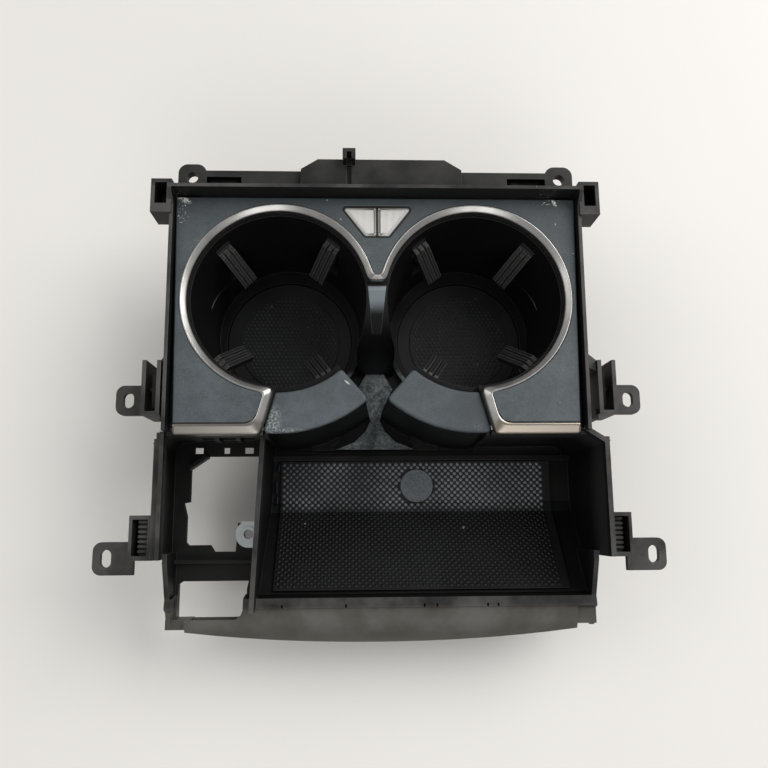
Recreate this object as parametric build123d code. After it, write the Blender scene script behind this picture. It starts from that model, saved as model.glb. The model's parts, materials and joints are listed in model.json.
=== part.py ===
"""Car centre-console cup holder with two cups, a storage tray and an empty switch bay.

Everything is built in the panel frame: x across the car, y towards the rear flange, z up from the
top face of the cover panel, y = 0 on the line through both cup centres. At export the whole thing
is moved so that it stands on z = 0 with its outer box centred on x = y = 0.
"""
import os
from math import atan2, cos, degrees, hypot, radians, sin

from build123d import *

# Cups and chrome
RING_R = 46.0         # chrome ring, outer radius
RING_GAP = 0.8        # between the two chrome rings
TRIM_W = 3.6          # chrome width round the cups, seen from above
STRIP_W = 5.4         # chrome width along the two front strips
TRIM_TOP = 0.6        # chrome crest above the panel
TRIM_DROP = 3.4       # how far the chrome face slopes down
BORE_SET = 0.8        # cup bore inside the chrome's inner edge
CUP_TAPER = 3.6       # bore radius lost between top and floor
CUP_DEPTH = 66.0      # panel top to the cup's floor ledge
CUP_LEAN = 4.0        # cup axis moves this far forward on its way down
MAT_LEDGE = 4.0       # floor ledge round the seat of the cup mat
RECESS_SHIFT = 2.8    # seat centre forward of the leaning axis
RECESS_D = 3.0
WALL = 2.2            # general moulded wall

# Cover panel
PANEL_T = 2.5
PANEL_SKIRT = 2.7     # rim below the plate that stands on the housing flange
PANEL_SIDE = 3.0      # panel outside the rings, at the rear corners
PANEL_REAR = 3.0      # panel behind the rings
PANEL_FRONT = 13.5    # panel in front of the rings
PANEL_TAPER = 2.4     # lost on each side towards the front
VEE_Y = 11.0          # blunt tip of the panel between the rings
VEE_HALF = 4.6
GAP_REAR_SET = 1.2    # chrome ends beside the arms, outside the cup centre at the ring
GAP_FRONT_SET = 7.4   # and at the front strip
GAP_RISE = 3.5        # the gap starts this far inside the ring's front
STRIP_CORNER = 4.5    # panel's round corner beside the strip

# Spring fingers in the cup walls
FINGER_ANGLES = (134.0, 52.5, -136.0, -58.0)   # left cup, the right cup is mirrored
FINGER_L = 29.0
FINGER_W = 8.0
FINGER_T = 2.6
FINGER_LEAN = 37.0    # rest angle from the vertical
HINGE_Z = -15.5
HINGE_SET = 2.9       # hinge axis behind the cup wall face
BARREL_R = 2.6
PIN_R = 1.0
RIB_W = 1.8
RIB_H = 1.9
POCKET_BACK = 4.4     # pocket's back face behind the hinge axis
CHEEK = 1.8
SPRING_T = 0.45

# Arms in front of the cups
ARM_SET = 1.5         # arm's inner edge inside the ring's outer radius
ARM_W = 19.0
ARM_END = -48.5       # free end, left cup
ARM_START = -99.0     # end under the chrome
ARM_TOP = -5.0
ARM_CAP_T = 4.0
ARM_CORNER = 1.8      # round corners of the free end
ARM_EDGE = 1.0        # bevel of the top edge
ARM_DRAFT = 2.8       # the arm's wall stands out by this at its foot

# Pillar and valley between the cups
PILLAR_HALF = 9.6
VALLEY_RISE = 4.5     # valley floor above the cup floors
HOUSING_LIP = 6.5     # housing in front of the panel
HOUSING_HALF = 34.0   # base plate between the arms

# Switch buttons
KEY_SET = 4.0         # button field in front of the panel's rear edge
KEY_L = 16.2
KEY_REAR_HALF = 18.6
KEY_FRONT_HALF = 6.2
BEZEL_WALL = 0.8
KEY_ROUND = 2.0       # corners of the button field
KEY_SPLIT = 0.8
KEY_TOP = 0.4
DOME_X = 6.6
DOME_SET = 5.4        # domes in front of the button field's rear edge

# Carrier frame
RIM_TOP = 10.0
SIDE_TOP = 4.5        # rim top along the sides
RIM_T = 1.6           # rim wall round the panel
RIM_GAP = 0.3         # panel to rim, at the sides
REAR_GAP = 0.8        # panel to rim, at the rear
FRAME_SKIRT = -14.0
FLANGE_W = 8.6        # rear flange behind the rim
FLANGE_MID_W = 5.0    # its middle reaches further back
FLANGE_MID_X = (-36.0, 40.0)
HOOK_X = -13.2
HOOK_L = 2.0
FOOT_H = 7.5          # cup floor down to the plane it stands on

# Tray, bay and apron
TRAY_STEP = 4.9       # tray walls outside the rim
RIGHT_OUT = 4.4       # the tray's right wall stands further out
TRAY_JOG = 2.4        # and back in near the front
TRAY_WALL_TOP = -2.0
TRAY_LEDGE = -6.0     # ledge outside the left wall's upper part
TRAY_LOW_TOP = -20.0
TRAY_LOW_END = -34.0  # the low walls fall to this at the front
TRAY_DROP = 1.2       # tray floor below the cup floors
TRAY_FLAT = 30.5      # housing front to the fold of the floor
TRAY_JOG_L = 53.0     # housing front to the jog in the walls
TRAY_L = 73.0         # housing front to the front rim
TRAY_PAST = 13.0      # side walls past the front rim
RIM_W = 4.5
RIM_RAMP_TOP = -33.0
RIM_LIP = 5.5
RIM_NOTCHES = (-45.0, -15.0, 22.0, 28.0, 52.0, 57.0)
APRON_L = 21.5        # front rim to the apron's foremost edge
APRON_FALL = 15.5
APRON_BOW_R = 700.0
PART_REAR_X = -54.5   # partition between bay and tray
PART_FRONT_X = -58.0
PART_TOP = -18.0
BAY_TOP = -40.0
NUT_X = -62.9         # sheet-metal nut in the bay
NUT_L = 43.4          # housing front to the nut
NUT_R = 6.5
NUT_T = 0.8
NUT_HOLE = 4.5
EMBLEM_X = 22.0       # round field on the tray mat
EMBLEM_L = 19.0
EMBLEM_R = 8.6
TRAY_SCREW_X = 22.0
TRAY_SCREW_SET = 5.5

# Mounting points
BRACKET_GAP = 1.0     # left upper bracket stands this far off the rim
BRACKET_OUT = 3.0     # the right one stands further out
BRACKET_W = 8.4
CLIP_W = 10.0         # clip housings beside the tray
BRACKET_L = 25.0
BRACKET_SET = 3.5     # upper brackets behind the panel's front edge
LUG_SET = 10.3        # rear lugs inside the rim's side
LUG_OUT = 5.1         # and behind the rim
LUG_HOLE = 5.4
UPPER_REACH = 17.0    # left slot centre outside the rim
UPPER_SLOT_W = 4.8
UPPER_SLOT_L = 7.0
LOWER_REACH = 21.5    # slot centre outside the tray wall
LOWER_SLOT_W = 5.0
LOWER_SLOT_L = 8.0
UPPER_TAB_Z = -5.0
LOWER_TAB_Z = -14.0
TAB_T = 3.0
TAB_EDGE = 3.4        # tab round its slot

# Clearances
FIT = 0.10            # still parts beside each other
SLIDE = 0.30          # moving parts
PIN_PLAY = 0.06       # finger bore round its pin
LINER = 2.0           # tray mat thickness

# Derived
CX = RING_R + RING_GAP / 2
CUP_R = RING_R - TRIM_W - BORE_SET
CUP_FLOOR_R = CUP_R - CUP_TAPER
RECESS_R = CUP_FLOOR_R - MAT_LEDGE
PANEL_REAR_Y = RING_R + PANEL_REAR
PANEL_FRONT_Y = -RING_R - PANEL_FRONT
PANEL_REAR_HALF = CX + RING_R + PANEL_SIDE
PANEL_FRONT_HALF = PANEL_REAR_HALF - PANEL_TAPER
GAP_REAR_X = CX + GAP_REAR_SET
GAP_FRONT_X = CX + GAP_FRONT_SET
GAP_REAR_Y = GAP_RISE - RING_R
TRIM_FOOT = -PANEL_T - PANEL_SKIRT + FIT
CUP_TOP = -PANEL_T - PANEL_SKIRT
FLANGE_BOT = CUP_TOP - WALL
FLOOR_T = 2.2
HALF_SLOT = FINGER_W / 2 + 0.4
SEAT_TOP = -CUP_DEPTH - RECESS_D
ARM_IN_R = RING_R - ARM_SET
ARM_OUT_R = ARM_IN_R + ARM_W
VALLEY_TOP = VALLEY_RISE - CUP_DEPTH
HOUSING_FRONT_Y = PANEL_FRONT_Y - HOUSING_LIP
KEY_REAR_Y = PANEL_REAR_Y - KEY_SET
KEY_FRONT_Y = KEY_REAR_Y - KEY_L
DOME_Y = KEY_REAR_Y - DOME_SET
FRAME_HALF = PANEL_REAR_HALF + RIM_GAP + RIM_T
FRAME_REAR_Y = PANEL_REAR_Y + REAR_GAP + RIM_T
FLANGE_Y = FRAME_REAR_Y + FLANGE_W
FLANGE_MID_Y = FLANGE_Y + FLANGE_MID_W
HOOK_Y = FLANGE_MID_Y + HOOK_L
FOOT_Z = -CUP_DEPTH - FOOT_H
TRAY_HALF = FRAME_HALF + TRAY_STEP
TRAY_LOW_HALF = TRAY_HALF - TRAY_JOG
TRAY_FLOOR_TOP = -CUP_DEPTH - TRAY_DROP
TRAY_FOLD_Y = HOUSING_FRONT_Y - TRAY_FLAT
TRAY_JOG_Y = HOUSING_FRONT_Y - TRAY_JOG_L
RIM_Y = HOUSING_FRONT_Y - TRAY_L
RIM_FRONT_Y = RIM_Y - RIM_W
RIM_LIP_TOP = RIM_RAMP_TOP + RIM_LIP
TRAY_END_Y = RIM_Y - TRAY_PAST
APRON_FRONT_Y = RIM_Y - APRON_L
APRON_DROP = RIM_LIP_TOP - APRON_FALL
APRON_LEFT = 9.2 - TRAY_LOW_HALF
APRON_RIGHT = TRAY_LOW_HALF - 4.8
NUT_Y = HOUSING_FRONT_Y - NUT_L
TRAY_SCREW_Y = HOUSING_FRONT_Y + TRAY_SCREW_SET
LUG_X = FRAME_HALF - LUG_SET
LUG_Y = FRAME_REAR_Y + LUG_OUT
BRACKET_Y = PANEL_FRONT_Y + BRACKET_SET
UPPER_SLOT = (FRAME_HALF + UPPER_REACH, BRACKET_Y + 7.7, UPPER_SLOT_W, UPPER_SLOT_L)
LOWER_SLOT = (TRAY_HALF + LOWER_REACH, TRAY_JOG_Y - 0.5, LOWER_SLOT_W, LOWER_SLOT_L)
MID_X = RIGHT_OUT / 2
MID_Y = (HOOK_Y + APRON_FRONT_Y) / 2
FAR = PANEL_REAR_HALF + 30   # safely outside the panel


def block(x0, x1, y0, y1, z0, z1):
    """Box between the given limits."""
    return Pos((x0 + x1) / 2, (y0 + y1) / 2, (z0 + z1) / 2) * Box(abs(x1 - x0), abs(y1 - y0), abs(z1 - z0))


def prism(points, z0, z1, corner=0):
    """Polygon seen from above, its corners rounded if asked for, between two heights."""
    face = Polygon(*points, align=None)
    if corner:
        face = fillet(face.vertices(), corner)
    return Pos(0, 0, z0) * extrude(face, z1 - z0, dir=(0, 0, 1))


def side_prism(face, x0, x1):
    """Side view (y, z) face, between two x."""
    return Pos(x0, 0, 0) * extrude(Plane.YZ * face, x1 - x0, dir=(1, 0, 0))


def side_poly(points, x0, x1):
    return side_prism(Polygon(*points, align=None), x0, x1)


def disc(x, y, r, z0, z1):
    return Pos(x, y, (z0 + z1) / 2) * Cylinder(r, z1 - z0)


def twin(shape):
    """The shape and its mirror image on the other side."""
    return shape + mirror(shape, about=Plane.YZ)


def wall_line(p, q, t, z0, z1):
    """Upright wall of thickness t from p to q, ends squared past both points."""
    d = hypot(q[0] - p[0], q[1] - p[1])
    turn = degrees(atan2(q[1] - p[1], q[0] - p[0]))
    mid = Pos((p[0] + q[0]) / 2, (p[1] + q[1]) / 2, (z0 + z1) / 2)
    return mid * Rot(0, 0, turn) * Box(d + t, t, z1 - z0)


def sector_face(r0, r1, a0, a1, z):
    """Ring sector round the left cup centre, at a height."""
    inner = CenterArc((-CX, 0), r0, a0, a1 - a0)
    outer = CenterArc((-CX, 0), r1, a0, a1 - a0)
    ends = [Line(inner @ 0, outer @ 0), Line(inner @ 1, outer @ 1)]
    return Pos(0, 0, z) * make_face([inner, outer] + ends)


def sector(r0, r1, a0, a1, z0, z1):
    return extrude(sector_face(r0, r1, a0, a1, z0), z1 - z0, dir=(0, 0, 1))


def lean(z):
    """y of the cup axis at height z."""
    return -CUP_LEAN * (CUP_TOP - z) / (CUP_TOP + CUP_DEPTH)


def bore(z):
    """Cup wall radius at height z."""
    return CUP_R - (CUP_R - CUP_FLOOR_R) * (CUP_TOP - z) / (CUP_TOP + CUP_DEPTH)


def cup_cone(grow, z0, z1):
    """Left cup's leaning cone, grown by a wall, between two heights."""
    low = Pos(-CX, lean(z0), z0) * Circle(bore(z0) + grow)
    high = Pos(-CX, lean(z1), z1) * Circle(bore(z1) + grow)
    return loft([low, high])


def panel_plan(inset, z0, z1):
    """The panel's outline without its openings."""
    a = PANEL_REAR_HALF - inset
    b = PANEL_FRONT_HALF - inset
    rear = PANEL_REAR_Y - inset
    return prism([(-a, rear), (a, rear), (b, PANEL_FRONT_Y), (-b, PANEL_FRONT_Y)], z0, z1)


def gap_x(y, k):
    """Half gap between the chrome ends at y; k = 0 at the panel edge, 1 at the cup edge."""
    slope = (GAP_FRONT_X - GAP_REAR_X) / (GAP_REAR_Y - PANEL_FRONT_Y + STRIP_W)
    return GAP_REAR_X + (GAP_REAR_Y - y) * slope + (1 - k) * (TRIM_W + 0.6)


def gap_face(k):
    """The gap between the chrome ends and all before the strips, with a round corner beside each strip."""
    front = PANEL_FRONT_Y - k * STRIP_W
    cut = STRIP_CORNER * (1 - 0.6 * k)
    turn = ((1, 1), (0.3, 0.7), (0, 0))
    bend = [(-gap_x(front + cut * n, k) - cut * (1 - m), front + cut * n) for n, m in turn]
    gap = [(-gap_x(GAP_REAR_Y, k), GAP_REAR_Y)] + bend + [(-FAR, front), (-FAR, front - 30)]
    return Polygon(*(gap + [(-x, y) for x, y in reversed(gap)]), align=None)


def opening(k, z0, z1):
    """Everything the panel leaves open, shrunk by the share k of the chrome's width."""
    tip = VEE_Y - k * TRIM_W
    ring = disc(-CX, 0, RING_R - k * TRIM_W, z0, z1)
    mid = Pos(0, 0, z0) * extrude(gap_face(k), z1 - z0, dir=(0, 0, 1))
    middle = block(-CX, CX, GAP_REAR_Y - 1, 0, z0, z1) + block(-VEE_HALF, VEE_HALF, -1, tip, z0, z1)
    return twin(ring) + mid + middle


def sloped_opening(z0, z1):
    """Cut that gives the chrome its sloping face: narrow at z0, wide at z1."""
    ends = [Pos(0, 0, z) * gap_face(k) for k, z in ((1.0, z0), (0.2, z1))]
    rise = z1 - z0
    cone = Cone(RING_R - TRIM_W, RING_R - 0.2 * TRIM_W, rise)
    cones = Pos(-CX, 0, z0 + rise / 2) * cone + Pos(CX, 0, z0 + rise / 2) * cone
    tip0, tip1 = VEE_Y - TRIM_W, VEE_Y - 0.2 * TRIM_W
    vee = side_poly([(-1, z0), (tip0, z0), (tip1, z1), (-1, z1)], -VEE_HALF, VEE_HALF)
    return loft(ends, ruled=True) + cones + vee + block(-CX, CX, GAP_REAR_Y - 1, 0, z0, z1)


def key_outline(inset):
    """Outline of the button field, drawn in from its edge."""
    slant = atan2(KEY_REAR_HALF - KEY_FRONT_HALF, KEY_REAR_Y - KEY_FRONT_Y)
    step = inset / cos(slant)
    slope = (KEY_REAR_HALF - KEY_FRONT_HALF) / (KEY_REAR_Y - KEY_FRONT_Y)
    a = KEY_REAR_HALF - step - inset * slope
    b = KEY_FRONT_HALF - step + inset * slope
    rear, front = KEY_REAR_Y - inset, KEY_FRONT_Y + inset
    return [(-a, rear), (a, rear), (b, front), (-b, front)]


def key_prism(inset, z0, z1):
    """Button field with rounded corners, drawn in from its edge, between two heights."""
    return prism(key_outline(inset), z0, z1, KEY_ROUND - inset)


def screw_spots():
    """Where the four panel screws stand."""
    spots = ((PANEL_REAR_HALF - 4.8, PANEL_REAR_Y - 10.2), (PANEL_FRONT_HALF - 5, PANEL_FRONT_Y + 10.5))
    return [(side * x, y) for x, y in spots for side in (-1, 1)]


def cover_panel():
    plate = panel_plan(0, -PANEL_T, 0)
    plate = chamfer(plate.edges().group_by(Axis.Z)[-1], 0.5)
    skirt = panel_plan(0, CUP_TOP, -PANEL_T) - panel_plan(1.8, CUP_TOP - 1, 0)
    skirt += block(-PANEL_FRONT_HALF, PANEL_FRONT_HALF, PANEL_FRONT_Y, PANEL_FRONT_Y + 1.8, CUP_TOP, -PANEL_T)
    panel = plate + skirt
    for x, y in screw_spots():
        panel += disc(x, y, 3.0, CUP_TOP, -PANEL_T)
    panel -= opening(0, CUP_TOP - 1, 1)
    panel -= key_prism(0, -10, 1)
    for x, y in screw_spots():
        panel -= disc(x, y, 1.25, CUP_TOP - 1, -1.2)
    return panel


def chrome_trim():
    blank = opening(0.02, TRIM_FOOT, TRIM_TOP) - opening(1, TRIM_FOOT - 1, TRIM_TOP + 1)
    limit = [(-PANEL_REAR_HALF, 60), (PANEL_REAR_HALF, 60), (PANEL_FRONT_HALF, PANEL_FRONT_Y - STRIP_W),
             (-PANEL_FRONT_HALF, PANEL_FRONT_Y - STRIP_W)]
    blank = blank & prism(limit, TRIM_FOOT - 1, TRIM_TOP + 1)
    return blank - sloped_opening(TRIM_TOP - TRIM_DROP - 0.6, TRIM_TOP)


def at_finger(side, angle):
    """Place of one finger's hinge: x outward from the cup, y along the pin."""
    turn = angle if side < 0 else 180 - angle
    return Pos(side * CX, lean(HINGE_Z), HINGE_Z) * Rot(0, 0, turn) * Pos(bore(HINGE_Z) + HINGE_SET, 0, 0)


def pocket_shell():
    return block(-6, POCKET_BACK + CHEEK, -HALF_SLOT - CHEEK, HALF_SLOT + CHEEK, -FINGER_L - 5.5, 4.6)


def pocket_hole():
    hole = block(-22, POCKET_BACK, -HALF_SLOT, HALF_SLOT, -FINGER_L - 4, 3.1)
    pin = Rot(90, 0, 0) * Cylinder(PIN_R + 0.02, 40)
    return hole + (pin & block(-3, 3, -HALF_SLOT - CHEEK + 0.4, HALF_SLOT + CHEEK + 1, -3, 3))


def finger():
    """Grip finger hanging from its hinge barrel: a plate with three bars on the face."""
    plate = block(-FINGER_T / 2, FINGER_T / 2, -FINGER_W / 2, FINGER_W / 2, -FINGER_L, 0)
    plate = fillet(plate.edges().filter_by(Axis.Y).group_by(Axis.Z)[0], FINGER_T / 2 - 0.1)
    step = (FINGER_W - RIB_W) / 2
    for n in (-1, 0, 1):
        rib = block(-FINGER_T / 2 - RIB_H, 0, n * step - RIB_W / 2, n * step + RIB_W / 2, -FINGER_L + 0.6, -4)
        rib = chamfer(rib.edges().filter_by(Axis.Y).group_by(Axis.X)[0], RIB_H - 0.2)
        plate += rib
    barrel = Rot(90, 0, 0) * Cylinder(BARREL_R, FINGER_W)
    hole = Rot(90, 0, 0) * Cylinder(PIN_R + PIN_PLAY, FINGER_W + 2)
    return Rot(0, FINGER_LEAN, 0) * plate + barrel - hole


def hinge_pin():
    return Pos(0, 0.15, 0) * Rot(90, 0, 0) * Cylinder(PIN_R, 2 * (HALF_SLOT + CHEEK) - 0.5)


def finger_spring():
    """Bent leaf: one leg on the pocket's back, the other against the back of the finger."""
    heel = -FINGER_L + 1.5
    tip_s = 0.52 * FINGER_L
    off = FINGER_T / 2 + 0.2 + SPRING_T
    lean_r = radians(FINGER_LEAN)
    tip = (-tip_s * sin(lean_r) + off * cos(lean_r), -tip_s * cos(lean_r) - off * sin(lean_r))
    x0 = POCKET_BACK - SPRING_T / 2
    dx, dz = tip[0] - x0, tip[1] - heel
    half = HALF_SLOT - 1.6
    back = block(POCKET_BACK - SPRING_T, POCKET_BACK, -half, half, heel, -7)
    d = hypot(dx, dz)
    turn = Rot(0, degrees(atan2(dx, dz)), 0)
    blade = Pos(x0, 0, heel) * turn * Pos(0, 0, d / 2) * Box(SPRING_T, 2 * half, d)
    bend = Pos(x0, 0, heel) * Rot(90, 0, 0) * Cylinder(SPRING_T / 2, 2 * half)
    return back + blade + bend


def gap_plan(inset, z0, z1):
    """The space between the chrome ends, drawn in on both sides, open to the front."""
    front = HOUSING_FRONT_Y - 10
    left = [(-gap_x(GAP_REAR_Y + 40, 1) + inset, GAP_REAR_Y + 40), (-gap_x(front, 1) + inset, front)]
    return prism(left + [(-x, y) for x, y in reversed(left)], z0, z1)


def pillar_face(dy, dz):
    """Front line of the pillar in the side view, moved by (dy, dz)."""
    rows = [(VEE_Y - TRIM_W - 0.2, CUP_TOP), (-2, -12.5), (-11, -22), (-19, -38), (-25.5, VALLEY_TOP)]
    return Spline(*[(y + dy, z + dz) for y, z in rows])


def pillar_air():
    """Open space in front of and above the pillar's face."""
    front = pillar_face(0, 0)
    outline = Polyline(front @ 1, (-40, VALLEY_TOP), (-40, 5), (VEE_Y - TRIM_W - 0.2, 5), front @ 0)
    return side_prism(make_face([front, outline]), -PILLAR_HALF - 0.02, PILLAR_HALF + 0.02)


def pillar():
    front = pillar_face(0, 0)
    low = -CUP_DEPTH - WALL
    outline = Polyline(front @ 1, (-25.5, low), (VEE_Y + 4, low), (VEE_Y + 4, CUP_TOP), front @ 0)
    solid = side_prism(make_face([front, outline]), -PILLAR_HALF, PILLAR_HALF)
    hollow = side_poly([(-20, low - 1), (-15, -36), (2, -16), (VEE_Y, -16), (VEE_Y, low - 1)],
                       -PILLAR_HALF + WALL, PILLAR_HALF - WALL)
    return solid - hollow


def arm_shell():
    """Left arm's black wall: hollow, standing on the housing's base plate."""
    low = -CUP_DEPTH - WALL
    top = ARM_TOP - ARM_CAP_T
    foot = sector_face(CUP_FLOOR_R, ARM_OUT_R - 1 + ARM_DRAFT, ARM_START + 5, ARM_END + 0.3, low)
    head = sector_face(CUP_FLOOR_R, ARM_OUT_R - 1, ARM_START + 5, ARM_END - 0.8, top)
    solid = loft([foot, head], ruled=True)
    turn = degrees(WALL / ARM_IN_R)
    hollow = sector(CUP_FLOOR_R - 5, ARM_OUT_R - 1 - WALL, ARM_START + 5 + turn, ARM_END - 0.8 - turn,
                    -CUP_DEPTH, top + 1)
    return solid - (hollow - cup_cone(WALL, -CUP_DEPTH - 1, CUP_TOP))


def handle_gap():
    """Left half of the open valley between arm end and pillar."""
    r_in, r_out = CUP_FLOOR_R - 3, ARM_OUT_R + 0.4
    a = radians(ARM_END)
    inner = (-CX + r_in * cos(a), r_in * sin(a))
    outer = (-CX + r_out * cos(a), r_out * sin(a))
    edge = -PILLAR_HALF - 0.02
    middle = [(0.01, outer[1] - 4), (0.01, -25.6), (edge, -25.6), (edge, -6), (-15, -6)]
    return prism([inner, outer] + middle, VALLEY_TOP, 5)


def cup_housing():
    """Both cups, pillar, arm walls and valley floor in one moulding."""
    low = -CUP_DEPTH - WALL
    half = PANEL_REAR_HALF
    flange = block(-half, half, PANEL_FRONT_Y + 0.4, PANEL_REAR_Y, FLANGE_BOT, CUP_TOP)
    flange -= gap_plan(0.4, FLANGE_BOT - 1, CUP_TOP + 1) & block(-70, 70, -90, -12, -20, 0)
    flange -= block(-PILLAR_HALF - 2, PILLAR_HALF + 2, -40, VEE_Y - TRIM_W - 0.2, FLANGE_BOT - 1, CUP_TOP + 1)
    flange -= key_prism(-2.2, FLANGE_BOT - 1, CUP_TOP + 1)
    pot = cup_cone(WALL, low, CUP_TOP)
    pot -= gap_plan(0.4, ARM_TOP - ARM_CAP_T, 5) & block(-70, 70, -90, -25, -20, 5)
    shell = twin(pot) + flange
    shell += block(-HOUSING_HALF, HOUSING_HALF, HOUSING_FRONT_Y, -20, low, -CUP_DEPTH)
    for side in (-1, 1):
        for angle in FINGER_ANGLES:
            shell += at_finger(side, angle) * pocket_shell()
    bores = twin(cup_cone(0, -CUP_DEPTH, 4))
    shell -= twin(handle_gap()) + pillar_air()
    fan = [(4.6, -25), (9.4, -33.5), (3.6, -46), (2.6, -50.7), (5.4, -56.5), (11, -62), (21, HOUSING_FRONT_Y)]
    valley = prism(fan + [(-x, y) for x, y in reversed(fan)], -CUP_DEPTH, VALLEY_TOP)
    shell += twin(arm_shell()) + pillar() + valley
    shell -= bores
    seat = disc(-CX, lean(-CUP_DEPTH) - RECESS_SHIFT, RECESS_R + WALL, SEAT_TOP - FLOOR_T, -CUP_DEPTH)
    foot = disc(-CX, lean(-CUP_DEPTH) - RECESS_SHIFT, 30, FOOT_Z, SEAT_TOP - 1)
    foot -= disc(-CX, lean(-CUP_DEPTH) - RECESS_SHIFT, 28, FOOT_Z - 1, SEAT_TOP - 1)
    seat += foot
    shell += twin(seat)
    shell -= twin(disc(-CX, lean(-CUP_DEPTH) - RECESS_SHIFT, RECESS_R, SEAT_TOP, -CUP_DEPTH + 0.5))
    for side in (-1, 1):
        for angle in FINGER_ANGLES:
            shell -= at_finger(side, angle) * pocket_hole()
    for x, y in screw_spots():
        shell -= disc(x, y, 1.7, FLANGE_BOT - 1, CUP_TOP + 1)
    for x in (-TRAY_SCREW_X, TRAY_SCREW_X):
        shell += disc(x, TRAY_SCREW_Y, 3.2, -CUP_DEPTH, -CUP_DEPTH + 3)
        shell -= disc(x, TRAY_SCREW_Y, 1.25, low - 1, -CUP_DEPTH + 1.4)
    return shell


def arm_cap():
    """Left arm's soft-touch top with rounded edges."""
    top = sector(ARM_IN_R, ARM_OUT_R, ARM_START, ARM_END, ARM_TOP - ARM_CAP_T, ARM_TOP)
    top = top & gap_plan(0.5, ARM_TOP - 10, 5)
    top = fillet([e for e in top.edges().filter_by(Axis.Z) if e.center().X > -CX + 20], ARM_CORNER)
    return chamfer(top.edges().group_by(Axis.Z)[-1], ARM_EDGE)


def pillar_inlay():
    """Grey tongue that runs from the chrome tip down the pillar."""
    inner, outer = pillar_face(-0.05, 0.05), pillar_face(-0.95, 0.95)
    face = make_face([inner, outer, Line(inner @ 0, outer @ 0), Line(inner @ 1, outer @ 1)])
    strip = side_prism(face, -6, 6)
    taper = [(-4.4, VEE_Y - TRIM_W - 0.5), (4.4, VEE_Y - TRIM_W - 0.5), (2.2, -12.5), (-2.2, -12.5)]
    return strip & prism(taper, -40, CUP_TOP - 0.2)


def cup_mat():
    y = lean(-CUP_DEPTH) - RECESS_SHIFT
    mat = disc(-CX, y, RECESS_R - 0.4, SEAT_TOP, SEAT_TOP + 1.8)
    return mat + disc(-CX, y, RECESS_R - 7, SEAT_TOP, SEAT_TOP + 2.4)


def tray_line(lift):
    """Tray floor in the side view: flat, a rounded fold, then the ramp; lifted by so much."""
    start = (HOUSING_FRONT_Y - 0.8, TRAY_FLOOR_TOP + lift)
    ramp = atan2(RIM_RAMP_TOP - TRAY_FLOOR_TOP, TRAY_FOLD_Y - RIM_Y)
    fold = (TRAY_FOLD_Y - 3 * cos(ramp), TRAY_FLOOR_TOP + 3 * sin(ramp) + lift)
    return [start, (TRAY_FOLD_Y + 3, TRAY_FLOOR_TOP + lift), fold, (RIM_Y, RIM_RAMP_TOP + lift)]


def part_x(y):
    """x of the partition's middle at y."""
    share = (y - HOUSING_FRONT_Y) / (RIM_Y - HOUSING_FRONT_Y)
    return PART_REAR_X + (PART_FRONT_X - PART_REAR_X) * share


def tray_mat():
    line = tray_line(0.02)
    line[0] = (HOUSING_FRONT_Y - 6, line[0][1])
    line[3] = (RIM_Y + 3, line[3][1] + 3 * (line[3][1] - line[2][1]) / (line[3][0] - line[2][0]))
    upper = [(y, z + LINER) for y, z in line]
    mat = side_poly(line + upper[::-1], PART_REAR_X + 4.5, TRAY_HALF - 8.6)
    top = TRAY_FLOOR_TOP + LINER
    return mat + disc(EMBLEM_X, HOUSING_FRONT_Y - EMBLEM_L, EMBLEM_R, top - 0.5, top + 0.7)


def tray_side(half, low_half, z0, top):
    """Right wall of the tray: shoulder, high wall, jog, and a low wall that falls towards the front."""
    mid, low = half - WALL / 2, low_half - WALL / 2
    wall = wall_line((mid, HOUSING_FRONT_Y - 1), (mid, TRAY_JOG_Y), WALL, z0, top)
    wall += wall_line((FRAME_HALF - WALL / 2, HOUSING_FRONT_Y + 4), (mid, HOUSING_FRONT_Y - 2), WALL, z0, top)
    run = wall_line((low, TRAY_JOG_Y), (low, TRAY_END_Y), WALL, z0, TRAY_LOW_TOP)
    run += block(low_half - WALL, half, TRAY_JOG_Y - 1.1, TRAY_JOG_Y + 1.1, z0, TRAY_LOW_TOP)
    rear, front = TRAY_JOG_Y - 3, TRAY_END_Y - 2
    fall = [(rear, TRAY_LOW_TOP), (front, TRAY_LOW_END), (front, 0), (rear, 0)]
    return wall + run - side_poly(fall, low_half - 9, low_half + 9)


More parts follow.
